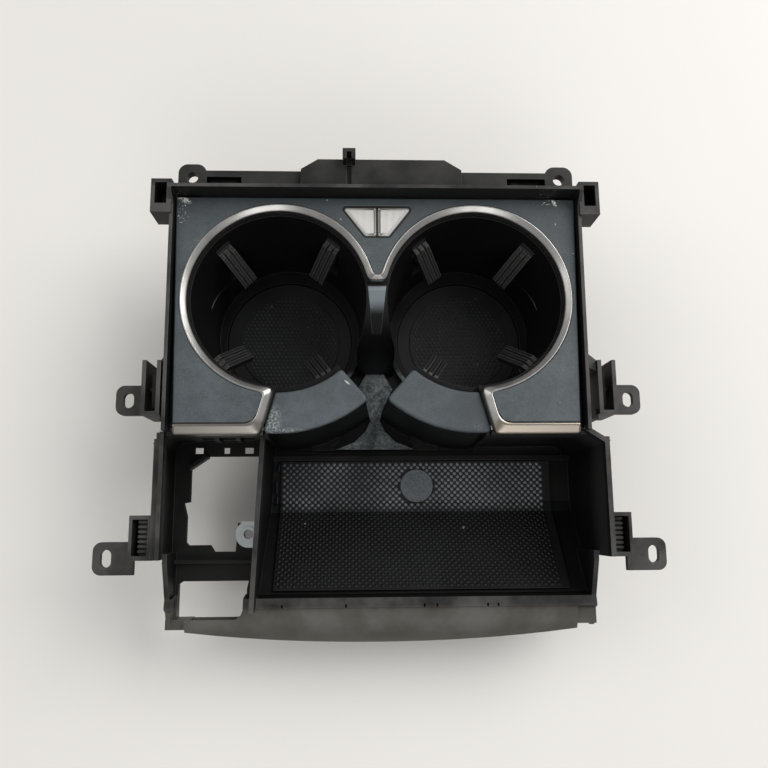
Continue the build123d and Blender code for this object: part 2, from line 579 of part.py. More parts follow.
def tray():
    """Storage tray of the carrier: floor, ramp, front rim, side walls, partition."""
    line = tray_line(0)
    under = tray_line(-WALL)
    right_half, low_half = TRAY_HALF + RIGHT_OUT, TRAY_LOW_HALF + RIGHT_OUT
    floor = side_poly(line + under[::-1], PART_FRONT_X, right_half - 1)
    z0 = TRAY_FLOOR_TOP - WALL
    rim = side_poly([(RIM_Y + 1.5, RIM_RAMP_TOP - WALL), (RIM_Y, RIM_LIP_TOP), (RIM_FRONT_Y, RIM_LIP_TOP + 1),
                     (RIM_FRONT_Y - 2, RIM_LIP_TOP - 3), (RIM_FRONT_Y + 1, RIM_LIP_TOP - 4)],
                    -TRAY_LOW_HALF, low_half)
    rear_end, front_end = (PART_REAR_X, HOUSING_FRONT_Y + 1.6), (part_x(RIM_FRONT_Y), RIM_FRONT_Y)
    part = wall_line(rear_end, front_end, WALL, z0, PART_TOP)
    right = tray_side(right_half, low_half, z0, TRAY_WALL_TOP)
    left = mirror(tray_side(TRAY_HALF, TRAY_LOW_HALF, z0, TRAY_LEDGE), about=Plane.YZ)
    x0, x1, y0, y1 = 3.4 - TRAY_HALF, 5.2 - TRAY_HALF, TRAY_JOG_Y - 1, HOUSING_FRONT_Y + 3
    left += block(x0, x1, y0, y1, TRAY_LEDGE - WALL, TRAY_WALL_TOP)
    left += block(1 - TRAY_HALF, x1, y0, y1, TRAY_LEDGE - WALL, TRAY_LEDGE)
    past = RIM_FRONT_Y - 20
    below = under[1:] + [(past, RIM_RAMP_TOP - WALL), (past, z0 - 9), (under[1][0], z0 - 9)]
    left &= block(-TRAY_HALF - 9, PART_REAR_X, TRAY_END_Y - 9, 0, BAY_TOP - WALL - 8, 20)
    walls = part + right - side_poly(below, PART_FRONT_X - 9, right_half + 9)
    for x in RIM_NOTCHES:
        notch = Pos(x, RIM_FRONT_Y + 0.6, RIM_LIP_TOP + 0.4) * Box(1, 2, 3.2)
        rim -= notch
    rear, end, low_z = HOUSING_FRONT_Y, TRAY_END_Y, BAY_TOP - 5
    step = block(PART_REAR_X, right_half - 1, rear - 5.6, rear - 3, z0, TRAY_FLOOR_TOP + 3)
    ends = block(-TRAY_LOW_HALF - 0.5, APRON_LEFT + 2, end - 1.4, end + 3.4, low_z, BAY_TOP + 7)
    ends += block(APRON_RIGHT - 2, low_half, end, RIM_FRONT_Y, low_z, RIM_LIP_TOP - 2)
    lip = block(PART_REAR_X, GAP_FRONT_X + 2, HOUSING_FRONT_Y - 2, HOUSING_FRONT_Y + 9, z0 - 1,
                -CUP_DEPTH - WALL - FIT)
    ribs = block(-36, 86, HOUSING_FRONT_Y - 7, HOUSING_FRONT_Y - 5, FOOT_Z, z0 + 0.5)
    for x in (-36, 24, 84):
        ribs += block(x, x + 2, TRAY_FOLD_Y + 2, HOUSING_FRONT_Y - 5, FOOT_Z, z0 + 0.5)
        foot = [(TRAY_FOLD_Y + 6, FOOT_Z), (TRAY_FOLD_Y - 4, FOOT_Z), (RIM_Y + 2, RIM_RAMP_TOP - WALL - 4)]
        head = [(RIM_Y + 2, RIM_RAMP_TOP - WALL - 1), (TRAY_FOLD_Y - 3, z0), (TRAY_FOLD_Y + 6, z0)]
        ribs += side_poly(foot + head, x, x + 2)
    return floor + rim + walls + left + lip + ribs + step + ends


def bay_window():
    """Large rear window of the bay: a cut corner, a step on the left and a notch beside the nut's pad."""
    left, rear, front = -TRAY_HALF + 10.3, HOUSING_FRONT_Y - 5.2, HOUSING_FRONT_Y - 48.5
    right = PART_FRONT_X - 0.9
    pad = (NUT_X - 5.4, NUT_Y + NUT_R - 1)
    corner = [(left, rear - 4.8), (left + 7.5, rear), (right, rear), (right, rear - 21)]
    notch = [(right + 1.3, rear - 24), (right + 1.3, pad[1]), pad, (pad[0] - 0.8, front - 3.2)]
    step = [(left - 1.3, front + 1.4), (left - 1.3, rear - 29.5), (left - 3, rear - 23), (left, rear - 22.4)]
    return corner + notch + [(pad[0] - 11, front - 3.2), (pad[0] - 13, front), (left, front)] + step


def front_window():
    """Smaller window in front of the crossbar, one corner cut."""
    left, right = -TRAY_HALF + 6.2, PART_FRONT_X - 4.4
    rear, front = HOUSING_FRONT_Y - 65.6, TRAY_END_Y + 3.4
    side = [(right, rear), (right - 0.8, rear - 4), (right - 0.8, front + 4.6), (right - 2, front + 1.6)]
    return [(left, rear - 1.4), (left + 2, rear)] + side + [(right - 4.6, front), (left - 0.9, front)]


def bay():
    """Left bay: a floor web with a window, its rear wall and a corner pad for the nut clip."""
    left = 1 - TRAY_HALF
    rear = HOUSING_FRONT_Y + 2
    web = block(left, PART_REAR_X + 0.4, rear, TRAY_END_Y, BAY_TOP - WALL, BAY_TOP)
    front = RIM_FRONT_Y - 0.5
    beyond = [(PART_REAR_X - 0.5, rear), (PART_FRONT_X - 0.8, front), (0, front), (0, rear)]
    web -= prism(beyond, BAY_TOP - 9, BAY_TOP + 9)
    web -= prism(bay_window(), BAY_TOP - 9, BAY_TOP + 9)
    web -= disc(NUT_X, NUT_Y, 3.2, BAY_TOP - 9, BAY_TOP + 9)
    for x, w in ((-88.4, 4.2), (-74.7, 3.0), (-63.6, 4.4)):
        web -= block(x - w / 2, x + w / 2, rear - 5.8, rear - 2.8, BAY_TOP - 9, BAY_TOP + 9)
    web += block(left, PART_FRONT_X - 1.2, HOUSING_FRONT_Y - 57, HOUSING_FRONT_Y - 55.6, BAY_TOP, BAY_TOP + 4)
    edge = left + 8
    clip = [(edge, rear - 12.4), (edge + 1, rear - 14), (edge + 10, rear - 7.9), (edge + 9, rear - 6.2)]
    web += prism(clip, BAY_TOP - WALL, BAY_TOP + 4)
    wall = block(-FRAME_HALF, PART_REAR_X - 1, rear - 0.2, rear + 2, BAY_TOP - WALL, FLANGE_BOT - FIT)
    wall -= block(-84, PART_FRONT_X - 0.5, rear - 9, rear + 9, -30, -19)
    for x in (-77, -67):
        wall += block(x, x + 2, rear - 1.4, rear + 2, -31, -18)
    return web + wall


def apron():
    """Bowed front apron that slopes down from the tray's front rim."""
    rim, crest, foot = RIM_FRONT_Y, RIM_LIP_TOP, APRON_FRONT_Y - 2
    top = ThreePointArc((rim, crest + 0.5), (rim - 12.5, crest - 4.5), (foot, APRON_DROP))
    low = ThreePointArc((rim, crest - 2), (rim - 11.9, crest - 6.9), (foot, APRON_DROP - 3))
    face = make_face([top, low, Line(top @ 0, low @ 0), Line(top @ 1, low @ 1)])
    shell = side_prism(face, APRON_LEFT, APRON_RIGHT)
    mid = (APRON_LEFT + APRON_RIGHT) / 2
    deep = APRON_DROP - 20
    bow = disc(mid, APRON_FRONT_Y + APRON_BOW_R, APRON_BOW_R, deep, crest + 9)
    lip = bow - disc(mid, APRON_FRONT_Y + APRON_BOW_R, APRON_BOW_R - 2, deep - 1, crest + 10)
    lip &= block(APRON_LEFT, APRON_RIGHT, foot - 1, foot + 19, APRON_DROP - 4, APRON_DROP + 13)
    under = make_face([top, Polyline(top @ 0, (rim, deep), (foot, deep), top @ 1)])
    return (shell & bow) + (lip & side_prism(under, APRON_LEFT - 5, APRON_RIGHT + 2))


def tab(slot, out, x_root, z_top):
    """Left fixing tab with rounded outer corners and a slot that runs fore and aft, moved out by so much."""
    x, y, w, length = slot
    x += out
    half = length / 2 + TAB_EDGE
    plate = block(-x - w / 2 - TAB_EDGE, -x_root, y - half, y + half, z_top - TAB_T, z_top)
    plate = fillet(plate.edges().filter_by(Axis.Z).group_by(Axis.X)[0], 4.0)
    hole = disc(-x, y - (length - w) / 2, w / 2, z_top - 9, z_top + 9)
    hole += disc(-x, y + (length - w) / 2, w / 2, z_top - 9, z_top + 9)
    hole += block(-x - w / 2, -x + w / 2, y - (length - w) / 2, y + (length - w) / 2, z_top - 9, z_top + 9)
    return plate - hole


def upper_bracket(out):
    """Left channel bracket beside the cups with its slotted tab, moved out by so much."""
    x0 = -FRAME_HALF - BRACKET_GAP - out
    x1 = x0 - BRACKET_W
    front, rear = BRACKET_Y, BRACKET_Y + BRACKET_L
    box = block(x1, x0, front, rear, -22, 3)
    box -= block(x1 + 1.8, x0 - 1.8, front + 1.6, rear + 3, -30, 8)
    box += block(x1 + 3.2, x0 - 3.2, front + 4, rear - 5, -22, -4)
    box += block(x1 + 1, x0 - 1, front + 12, front + 13.5, -22, -6)
    rim = 1 - FRAME_HALF
    web = prism([(x0 - 1, rear), (x0 - 1, rear - 5), (rim, rear - 2), (rim, rear + 5)], -20, 0)
    foot = block(x0 - 1, rim, front - 2, front + 3, -20, -3)
    return box + web + foot + tab(UPPER_SLOT, out, -x1 - 1, UPPER_TAB_Z)


def lower_bracket(out):
    """Left clip housing beside the tray with a ladder of rungs and its slotted tab, moved out by so much."""
    x0 = -TRAY_HALF - out
    x1 = x0 - CLIP_W
    front, rear = TRAY_JOG_Y - 1.3, TRAY_JOG_Y + 18.7
    box = block(x1, x0 + 1, front, rear, -30, -8)
    box -= block(x1 + 1.4, x0 - 1.6, front + 2, rear - 1.8, -24, 0)
    for n in range(7):
        rung = front + 3.4 + 2.2 * n
        box += block(x1 + 3.4, x0 - 2.4, rung, rung + 1.1, -25, -11)
    box += block(x1 + 3.4, x0 - 2.4, front + 1, rear - 1, -25, -13)
    return box + tab(LOWER_SLOT, out, -x1 - 1, LOWER_TAB_Z)


def corner_socket():
    """Left rear clip socket, open at the top."""
    rim, rear = -FRAME_HALF, FRAME_REAR_Y + 4
    box = block(rim - 8.6, rim + 1, rear - 16.5, rear, -10, 6)
    return box - block(rim - 6.8, rim - 1.2, rear - 12.2, rear - 1.8, -8, 10)


def rear_flange():
    """Flange behind the rim: slots, a longer middle, a locating hook and two lugs."""
    root = FRAME_REAR_Y - 1
    flange = block(-LUG_X - 1, LUG_X + 1, root, FLANGE_Y, 2.5, 5.0)
    left, right = FLANGE_MID_X
    middle = [(right, root), (right, FLANGE_Y), (right - 8, FLANGE_MID_Y), (left + 8, FLANGE_MID_Y)]
    flange += prism(middle + [(left, FLANGE_Y), (left, root)], 3.5, 7.5)
    for x in (-70, -45, -20, 20, 45, 70):
        flange += block(x - 0.8, x + 0.8, root, FLANGE_Y - 2, FRAME_SKIRT + 2, 3)
    for x in (-84, 62):
        flange -= block(x, x + 20, root + 3, root + 6.5, 0, 10)
    hook = block(HOOK_X - 3, HOOK_X + 3, FLANGE_MID_Y - 3, HOOK_Y, 1, 15)
    hook -= block(HOOK_X - 1.2, HOOK_X + 1.2, FLANGE_MID_Y - 5, HOOK_Y - 1.6, 7.5, 20)
    flange -= block(HOOK_X - 1.2, HOOK_X + 1.2, root + 2, FLANGE_MID_Y - 2.5, 5.5, 10)
    lug = block(-LUG_X - 6.6, -LUG_X + 6.6, root, LUG_Y + 6.6, 0, 5.0)
    lug = fillet(lug.edges().filter_by(Axis.Z).group_by(Axis.Y)[-1], 4.5)
    lug -= disc(-LUG_X, LUG_Y, LUG_HOLE / 2, -5, 10)
    flange -= twin(disc(-LUG_X, LUG_Y, 6.0, -5, 10))
    return flange + hook + twin(lug)


def carrier_frame():
    """Main moulding: rim round the panel, tray, bay, apron, flange and all fixing points."""
    inner = FRAME_HALF - RIM_T
    side = block(-FRAME_HALF, -inner, HOUSING_FRONT_Y + 3, FRAME_REAR_Y, FRAME_SKIRT, RIM_TOP)
    fall = [(HOUSING_FRONT_Y, SIDE_TOP - 2), (FRAME_REAR_Y - 8, SIDE_TOP), (FRAME_REAR_Y - 2, RIM_TOP)]
    slope = fall + [(FRAME_REAR_Y - 2, RIM_TOP + 5), (HOUSING_FRONT_Y, RIM_TOP + 5)]
    side -= side_poly(slope, -FRAME_HALF - 9, -inner + 9)
    ledge = block(-FRAME_HALF + 1, -inner + 10, PANEL_FRONT_Y - 1, FRAME_REAR_Y - 1, -WALL, 0)
    ledge = Pos(0, 0, FLANGE_BOT) * ledge
    ledge -= cup_cone(WALL + 0.8, -30, CUP_TOP)
    ledge -= at_finger(-1, FINGER_ANGLES[0]) * Pos(0, 0, 3) * Box(30, 2 * HALF_SLOT + 6, 30)
    ledge -= at_finger(-1, FINGER_ANGLES[2]) * Pos(0, 0, 3) * Box(30, 2 * HALF_SLOT + 6, 30)
    frame = twin(side + ledge + corner_socket()) + upper_bracket(0) + lower_bracket(0)
    frame += mirror(upper_bracket(BRACKET_OUT) + lower_bracket(RIGHT_OUT), about=Plane.YZ)
    frame += block(-FRAME_HALF, FRAME_HALF, FRAME_REAR_Y - RIM_T, FRAME_REAR_Y, FRAME_SKIRT, RIM_TOP)
    rear, base = HOUSING_FRONT_Y + 4, TRAY_FLOOR_TOP - WALL
    edge = CX + 6.7
    right_wall = block(edge, FRAME_HALF, rear - WALL, rear, base, FLANGE_BOT - FIT)
    floor_lip = block(edge, TRAY_HALF, HOUSING_FRONT_Y - 2, rear - 0.8, base, TRAY_FLOOR_TOP)
    lip_l = block(PART_REAR_X, 2 - HOUSING_HALF, rear - 6, rear - 4.2, base, TRAY_FLOOR_TOP)
    left_wall = block(PART_REAR_X - 2, -edge, rear - WALL, rear, base, FLANGE_BOT - FIT)
    frame += right_wall + left_wall + floor_lip + lip_l + tray() + bay() + apron() + rear_flange()
    frame -= prism(front_window(), BAY_TOP - 20, 0)
    for x, y in screw_spots():
        frame -= disc(x, y, 1.7, FLANGE_BOT - WALL - 1, FLANGE_BOT + 1)
    for x in (-TRAY_SCREW_X, TRAY_SCREW_X):
        frame -= disc(x, TRAY_SCREW_Y, 1.7, FOOT_Z - 1, -CUP_DEPTH)
    return frame


def button(side):
    """One key cap with ribs on top, a skirt and a plunger."""
    low = CUP_TOP + 1.0
    cap = key_prism(BEZEL_WALL + SLIDE, low, KEY_TOP)
    hollow = prism(key_outline(BEZEL_WALL + SLIDE + 1.2), low - 1, KEY_TOP - 2)
    key = cap - hollow
    key += block(-KEY_SPLIT / 2 - 1.2, -KEY_SPLIT / 2, KEY_FRONT_Y + 2, KEY_REAR_Y - 2, low, KEY_TOP - 1)
    key += disc(-DOME_X, DOME_Y, 1.6, low - 0.4, KEY_TOP - 1)
    key &= block(-KEY_REAR_HALF, -KEY_SPLIT / 2, KEY_FRONT_Y, KEY_REAR_Y, low - 9, KEY_TOP + 9)
    key = chamfer(key.edges().group_by(Axis.Z)[-1], 0.5)
    return key if side < 0 else mirror(key, about=Plane.YZ)


def button_bezel():
    low = CUP_TOP - 1.8
    frame = key_prism(FIT, low, -0.3) - key_prism(BEZEL_WALL, low - 1, 1)
    foot = key_prism(-1.6, low, CUP_TOP + 1.2) - key_prism(BEZEL_WALL, low - 1, 1)
    return frame + foot


def switch_board():
    return key_prism(-0.2, CUP_TOP - 3.0, CUP_TOP - 1.8)


def switch_case():
    low = CUP_TOP - 5.2
    case = key_prism(-1.6, low, CUP_TOP - 1.8) - key_prism(-0.4, low + 1.2, 1)
    shelf = key_prism(-0.4, low, CUP_TOP - 3.0) - key_prism(1.4, low + 1.2, 1)
    return case + shelf - block(-3, 3, KEY_REAR_Y - 4, KEY_REAR_Y + 4, low + 1.2, CUP_TOP - 3.2)


def key_dome(side):
    """Rubber dome between plunger and board."""
    base = CUP_TOP - 1.8
    rise = CUP_TOP + 0.55 - base - 0.8
    dome = Pos(side * DOME_X, DOME_Y, base + 0.8 + rise / 2) * Cone(2.2, 1.4, rise)
    return dome + disc(side * DOME_X, DOME_Y, 2.6, base, base + 0.8)


def panel_screws():
    out = []
    for x, y in screw_spots():
        head = disc(x, y, 3.0, FLANGE_BOT - WALL - 1.8, FLANGE_BOT - WALL)
        out.append(head + disc(x, y, 1.2, FLANGE_BOT - WALL, -1.6))
    return Compound(children=out)


def tray_screws():
    out = []
    top = TRAY_FLOOR_TOP - WALL - 1
    for x in (-TRAY_SCREW_X, TRAY_SCREW_X):
        shank = disc(x, TRAY_SCREW_Y, 1.2, top, -CUP_DEPTH + 1.2)
        out.append(disc(x, TRAY_SCREW_Y, 3.0, top - 1.6, top) + shank)
    return Compound(children=out)


def nut_clip():
    """Sheet-metal nut folded over the corner pad of the bay: a rounded tab with a raised ring."""
    x, y = NUT_X, NUT_Y
    top, low = BAY_TOP + NUT_T, BAY_TOP - WALL - NUT_T
    edge = y + NUT_R - 1
    upper = disc(x, y, NUT_R, BAY_TOP, top) + block(x, x + 4.6, y - NUT_R, y + NUT_R, BAY_TOP, top)
    upper &= block(x - 9, x + 4.6, y - NUT_R, edge + NUT_T, low, top)
    lower = block(x - 4, x + 4, y - 5, edge + NUT_T, low, low + NUT_T)
    fold = block(x - 4, x + 4, edge + 0.05, edge + NUT_T, low, top)
    ring = disc(x, y, 3.9, BAY_TOP, top + 0.7)
    return upper + lower + fold + ring - disc(x, y, NUT_HOLE / 2, low - 9, top + 9)


def build():
    parts = {
        "carrier_frame": carrier_frame(), "cup_housing": cup_housing(), "cover_panel": cover_panel(),
        "chrome_trim": chrome_trim(), "pillar_inlay": pillar_inlay(), "tray_mat": tray_mat(),
        "button_bezel": button_bezel(), "switch_board": switch_board(), "switch_case": switch_case(),
        "panel_screws": panel_screws(), "tray_screws": tray_screws(), "nut_clip": nut_clip(),
    }
    for name, side in (("left", -1), ("right", 1)):
        for node, shape in (("arm_cap", arm_cap()), ("cup_mat", cup_mat())):
            parts[f"{name}_{node}"] = shape if side < 0 else mirror(shape, about=Plane.YZ)
        parts[f"{name}_button"] = button(side)
        parts[f"{name}_key_dome"] = key_dome(side)
        for n, angle in enumerate(FINGER_ANGLES, 1):
            parts[f"{name}_finger_{n}"] = at_finger(side, angle) * finger()
            parts[f"{name}_finger_spring_{n}"] = at_finger(side, angle) * finger_spring()
    pins = [at_finger(side, angle) * hinge_pin() for side in (-1, 1) for angle in FINGER_ANGLES]
    parts["finger_pins"] = Compound(children=pins)
    return parts


os.makedirs("parts", exist_ok=True)
for node, shape in build().items():
    export_step(Pos(-MID_X, -MID_Y, -FOOT_Z) * shape, f"parts/{node}.step")
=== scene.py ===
"""Looks of the car cup holder: finishes for the solid pieces, plus the chrome, arm tops, button caps,
mat studs, leaf springs and domes as worked-out surfaces. All lengths are metres in the part's own frame."""
import json
from math import atan2, cos, hypot, pi, radians, sin

import bpy
import numpy as np
from mathutils import Euler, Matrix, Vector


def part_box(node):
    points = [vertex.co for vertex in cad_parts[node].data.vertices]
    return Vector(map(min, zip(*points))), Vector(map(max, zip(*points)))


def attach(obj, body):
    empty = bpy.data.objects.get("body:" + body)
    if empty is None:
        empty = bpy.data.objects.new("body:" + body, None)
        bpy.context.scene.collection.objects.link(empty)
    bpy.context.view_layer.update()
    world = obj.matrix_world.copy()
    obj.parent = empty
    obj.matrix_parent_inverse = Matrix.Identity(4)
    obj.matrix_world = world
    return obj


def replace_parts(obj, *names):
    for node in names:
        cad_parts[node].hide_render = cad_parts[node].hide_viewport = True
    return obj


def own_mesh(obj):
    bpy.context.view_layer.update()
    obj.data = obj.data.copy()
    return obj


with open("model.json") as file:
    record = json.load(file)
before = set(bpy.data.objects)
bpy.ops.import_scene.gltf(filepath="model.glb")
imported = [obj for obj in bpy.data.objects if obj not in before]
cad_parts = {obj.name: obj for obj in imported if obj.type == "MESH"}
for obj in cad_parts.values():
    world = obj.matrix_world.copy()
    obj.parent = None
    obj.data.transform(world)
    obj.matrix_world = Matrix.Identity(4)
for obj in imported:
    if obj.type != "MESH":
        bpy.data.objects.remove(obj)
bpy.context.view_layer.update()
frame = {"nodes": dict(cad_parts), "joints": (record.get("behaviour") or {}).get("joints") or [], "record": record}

# Sizes of the part, read from the frame where a node shows them
MM = 0.001
PANEL_LOW, PANEL_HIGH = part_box("cover_panel")
PANEL_TOP = PANEL_HIGH.z
PANEL_REAR = 49.0 * MM          # panel's rear edge behind the line through the cup centres
MID_X = (PANEL_LOW.x + PANEL_HIGH.x) / 2
CUP_Y = PANEL_HIGH.y - PANEL_REAR
CUP_X = 46.4 * MM
RING_R = 46.0 * MM
TRIM_W = 3.6 * MM
TIP_W = 2.7 * MM
STRIP_W = 5.4 * MM
PANEL_FRONT = -59.5 * MM        # from the cup line
PANEL_FRONT_HALF = 93.0 * MM
STRIP_CORNER = 4.5 * MM         # panel's round corner beside each strip
VEE_Y = 11.0 * MM
GAP_REAR_X = 47.6 * MM
GAP_REAR_Y = -42.5 * MM
GAP_SLOPE = 6.2 / 22.4
GAP_EXTRA = 4.2 * MM
ARM_IN_R = 44.5 * MM
ARM_OUT_R = 63.5 * MM
ARM_END = radians(-48.5)
ARM_CLEAR = 0.5 * MM
KEY_REAR_Y = 45.0 * MM
KEY_FRONT_Y = 28.8 * MM
KEY_REAR_HALF = 18.6 * MM
KEY_FRONT_HALF = 6.2 * MM
KEY_SLOPE = (KEY_REAR_HALF - KEY_FRONT_HALF) / (KEY_REAR_Y - KEY_FRONT_Y)
KEY_INSET = 1.1 * MM
KEY_SPLIT = 0.4 * MM
MAT_T = 2.0 * MM                # tray mat
FOLD_Y = -96.5 * MM             # fold of the tray mat, from the cup line
FOLD_CUT = 3.0 * MM             # its bevel, on either side
BADGE_X, BADGE_Y = 22.0 * MM, -85.0 * MM
BADGE_R = 8.75 * MM
BADGE_CLEAR = 9.6 * MM          # no stud stands nearer to the badge's middle
SIDES = (("left", -1), ("right", 1))


# Shader maths

class Sock:
    """One shader socket; arithmetic on it adds Math nodes to its material."""

    def __init__(self, paint, socket):
        self.paint = paint
        self.socket = socket

    def math(self, operation, *values):
        return self.paint.node("ShaderNodeMath", {"operation": operation}, dict(enumerate(values)))

    def __add__(self, other):
        return self.math("ADD", self, other)

    def __sub__(self, other):
        return self.math("SUBTRACT", self, other)

    def __rsub__(self, other):
        return self.math("SUBTRACT", other, self)

    def __mul__(self, other):
        return self.math("MULTIPLY", self, other)

    def __truediv__(self, other):
        return self.math("DIVIDE", self, other)

    def __pow__(self, other):
        return self.math("POWER", self, other)

    __radd__ = __add__
    __rmul__ = __mul__

    def most(self, other):
        return self.math("MAXIMUM", self, other)

    def step(self, low, high):
        """0 below low, 1 above high, smooth between; low may be above high."""
        ends = {"From Min": low, "From Max": high, "Value": self}
        return self.paint.node("ShaderNodeMapRange", {"interpolation_type": "SMOOTHSTEP"}, ends)


class Paint:
    """A material under construction, with one Principled shader."""

    def __init__(self, name):
        self.material = bpy.data.materials.new(name)
        self.material.use_nodes = True
        self.tree = self.material.node_tree
        self.shader = self.tree.nodes["Principled BSDF"]
        self.place = self.node("ShaderNodeTexCoord", out="Object")
        shift = (-MID_X, -CUP_Y, -PANEL_TOP)
        local = self.node("ShaderNodeMapping", {}, {"Vector": self.place, "Location": shift})
        self.x, self.y, self.z = (self.node("ShaderNodeSeparateXYZ", {}, {0: local}, out=i) for i in range(3))

    def node(self, kind, settings=None, inputs=None, out=0):
        """Adds a node: its settings first, then values or links for its sockets; gives one output."""
        made = self.tree.nodes.new(kind)
        for key, value in (settings or {}).items():
            setattr(made, key, value)
        for key, value in (inputs or {}).items():
            self.feed(made.inputs[key], value)
        return Sock(self, made.outputs[out])

    def feed(self, socket, value):
        if isinstance(value, Sock):
            self.tree.links.new(value.socket, socket)
        elif hasattr(socket.default_value, "__len__") and len(value) == 3 and len(socket.default_value) == 4:
            socket.default_value = (*value, 1)
        else:
            socket.default_value = value

    def set(self, **sockets):
        """Values or links for the shader's own sockets, with _ for a space."""
        for name, value in sockets.items():
            self.feed(self.shader.inputs[name.replace("_", " ")], value)
        return self.material

    def noise(self, scale, detail, roughness, stretch=None):
        where = self.place
        if stretch:
            where = self.node("ShaderNodeMapping", {}, {"Vector": where, "Scale": stretch})
        inputs = {"Vector": where, "Scale": scale, "Detail": detail, "Roughness": roughness}
        return self.node("ShaderNodeTexNoise", {}, inputs)

    def mix(self, factor, first, second):
        """Colour between two colours."""
        return self.node("ShaderNodeMix", {"data_type": "RGBA"}, {0: factor, 6: first, 7: second}, out=2)

    def edges(self, radius):
        """0 on flat faces, towards 1 near edges, from the rounded normal's turn; and that normal."""
        rounded = self.node("ShaderNodeBevel", {"samples": 6}, {"Radius": radius})
        flat = self.node("ShaderNodeNewGeometry", out="Normal")
        dot = {"operation": "DOT_PRODUCT"}
        turn = self.node("ShaderNodeVectorMath", dot, {0: rounded, 1: flat}, out="Value")
        return 1 - turn, rounded

    def upward(self):
        """Height of the surface normal: 1 on faces that look straight up."""
        normal = self.node("ShaderNodeNewGeometry", out="Normal")
        return self.node("ShaderNodeSeparateXYZ", {}, {0: normal}, out=2)

    def bump(self, height, depth, normal=None):
        inputs = {"Height": height, "Strength": 1.0, "Distance": depth}
        if normal:
            inputs["Normal"] = normal
        return self.node("ShaderNodeBump", {}, inputs)

    def mark(self, x, y, long, wide, soft, turn=0.0):
        """1 inside an ellipse seen from above, in mm from the cup line; soft is its border's share."""
        dx, dy = self.x - x * MM, self.y - y * MM
        u = (dx * cos(turn) + dy * sin(turn)) / (long * MM)
        v = (dy * cos(turn) - dx * sin(turn)) / (wide * MM)
        return ((u * u + v * v) ** 0.5).step(1 + soft, 1 - soft)


# Finishes

# Near-black used as painted shade on the carrier's deep places and upright rim faces
PAINTED_SHADE_BLACK = (0.004, 0.004, 0.0042)


def grained_plastic():
    """Black moulding of the carrier: fine grain, paler edges (partly wear, partly painted edge highlight), dust on
    upward faces, painted shade making deep places and the rim's upright faces near-black, and a paler browner
    apron as painted warm reflection.
    """
    p = Paint("grained_plastic")
    edge, rounded = p.edges(0.5 * MM)
    grain = p.noise(2600, 2.0, 0.6)
    cloud = p.noise(38, 4.0, 0.6)
    up = p.upward()
    flake = p.noise(900, 4.0, 0.7)
    # deep places of the carrier: painted near-black as shade, with dust and edge lightening kept off them
    low = p.z.step(-12 * MM, -34 * MM)
    flange = p.y.step(51 * MM, 53 * MM)
    rim = p.y.step(-137 * MM, -139 * MM)
    dust = up.step(0.55, 1.0) * cloud.step(0.32, 0.66) * (1 - 0.9 * low).most(rim) * (1 - 0.6 * flange)
    # paler edges: partly wear, partly painted edge highlight
    edge_wear_and_highlight = edge.step(0.02, 0.25) * cloud.step(0.2, 0.6) * (1 - 0.6 * low).most(rim)
    # apron: paler and browner than the rest, painted warm reflection
    apron = p.y.step(-142 * MM, -146 * MM)
    chips = p.mark(81, 50.6, 5, 0.9, 0.6).most(p.mark(-93, 50.4, 3, 0.9, 0.6)) * flake.step(0.60, 0.64)
    black = p.mix(cloud, (0.017, 0.017, 0.0175), (0.027, 0.027, 0.0275))
    black = p.mix(flange * 0.5, black, (0.006, 0.006, 0.0062))
    # upright faces of the rim above the panel: painted near-black as shade
    upright = (1 - up.step(0.2, 0.6)) * p.z.step(-7 * MM, -5 * MM)
    black = p.mix(low, black, PAINTED_SHADE_BLACK)
    black = p.mix(upright * 0.8, black, PAINTED_SHADE_BLACK)
    black = p.mix(apron * 0.9, black, p.mix(cloud, (0.060, 0.056, 0.046), (0.090, 0.086, 0.074)))
    colour = p.mix(dust * 0.36, black, (0.17, 0.17, 0.165))
    colour = p.mix(edge_wear_and_highlight * 0.55, colour, (0.19, 0.19, 0.188))
    colour = p.mix(chips * 0.7, colour, (0.60, 0.61, 0.60))
    rough = 0.42 + 0.14 * grain - 0.06 * apron
    normal = p.bump(grain, 0.05 * MM, rounded)
    return p.set(Base_Color=colour, Roughness=rough, Normal=normal, Specular_IOR_Level=0.22)


def housing_plastic():
    """Black satin moulding of the cups; the valley between the arms is grey with dusty wear; edges paler as
    painted highlight.
    """
    p = Paint("housing_plastic")
    edge, rounded = p.edges(0.5 * MM)
    grain = p.noise(3200, 2.0, 0.6)
    cloud = p.noise(60, 5.0, 0.65)
    specks = p.noise(700, 3.0, 0.7)
    valley = p.y.step(-22 * MM, -27 * MM) * p.z.step(-63 * MM, -62 * MM) * p.z.step(-58 * MM, -60 * MM)
    valley = valley * p.x.step(-46 * MM, -42 * MM) * p.x.step(46 * MM, 42 * MM) * p.upward().step(0.3, 0.7)
    valley = valley * p.y.step(-53 * MM, -47 * MM).most(p.mark(0, -60, 24, 13, 0.8))
    colour = p.mix(cloud, (0.003, 0.003, 0.0033), (0.006, 0.006, 0.0065))
    grey = p.mix((specks * cloud).step(0.12, 0.44), (0.034, 0.040, 0.044), (0.215, 0.245, 0.258))
    colour = p.mix(valley, colour, grey)
    # paler edges: painted highlight
    colour = p.mix(edge.step(0.03, 0.3) * 0.3, colour, (0.12, 0.12, 0.125))
    rough = 0.34 + 0.16 * grain + 0.15 * valley
    normal = p.bump(grain, 0.03 * MM, rounded)
    return p.set(Base_Color=colour, Roughness=rough, Normal=normal, Specular_IOR_Level=0.2)


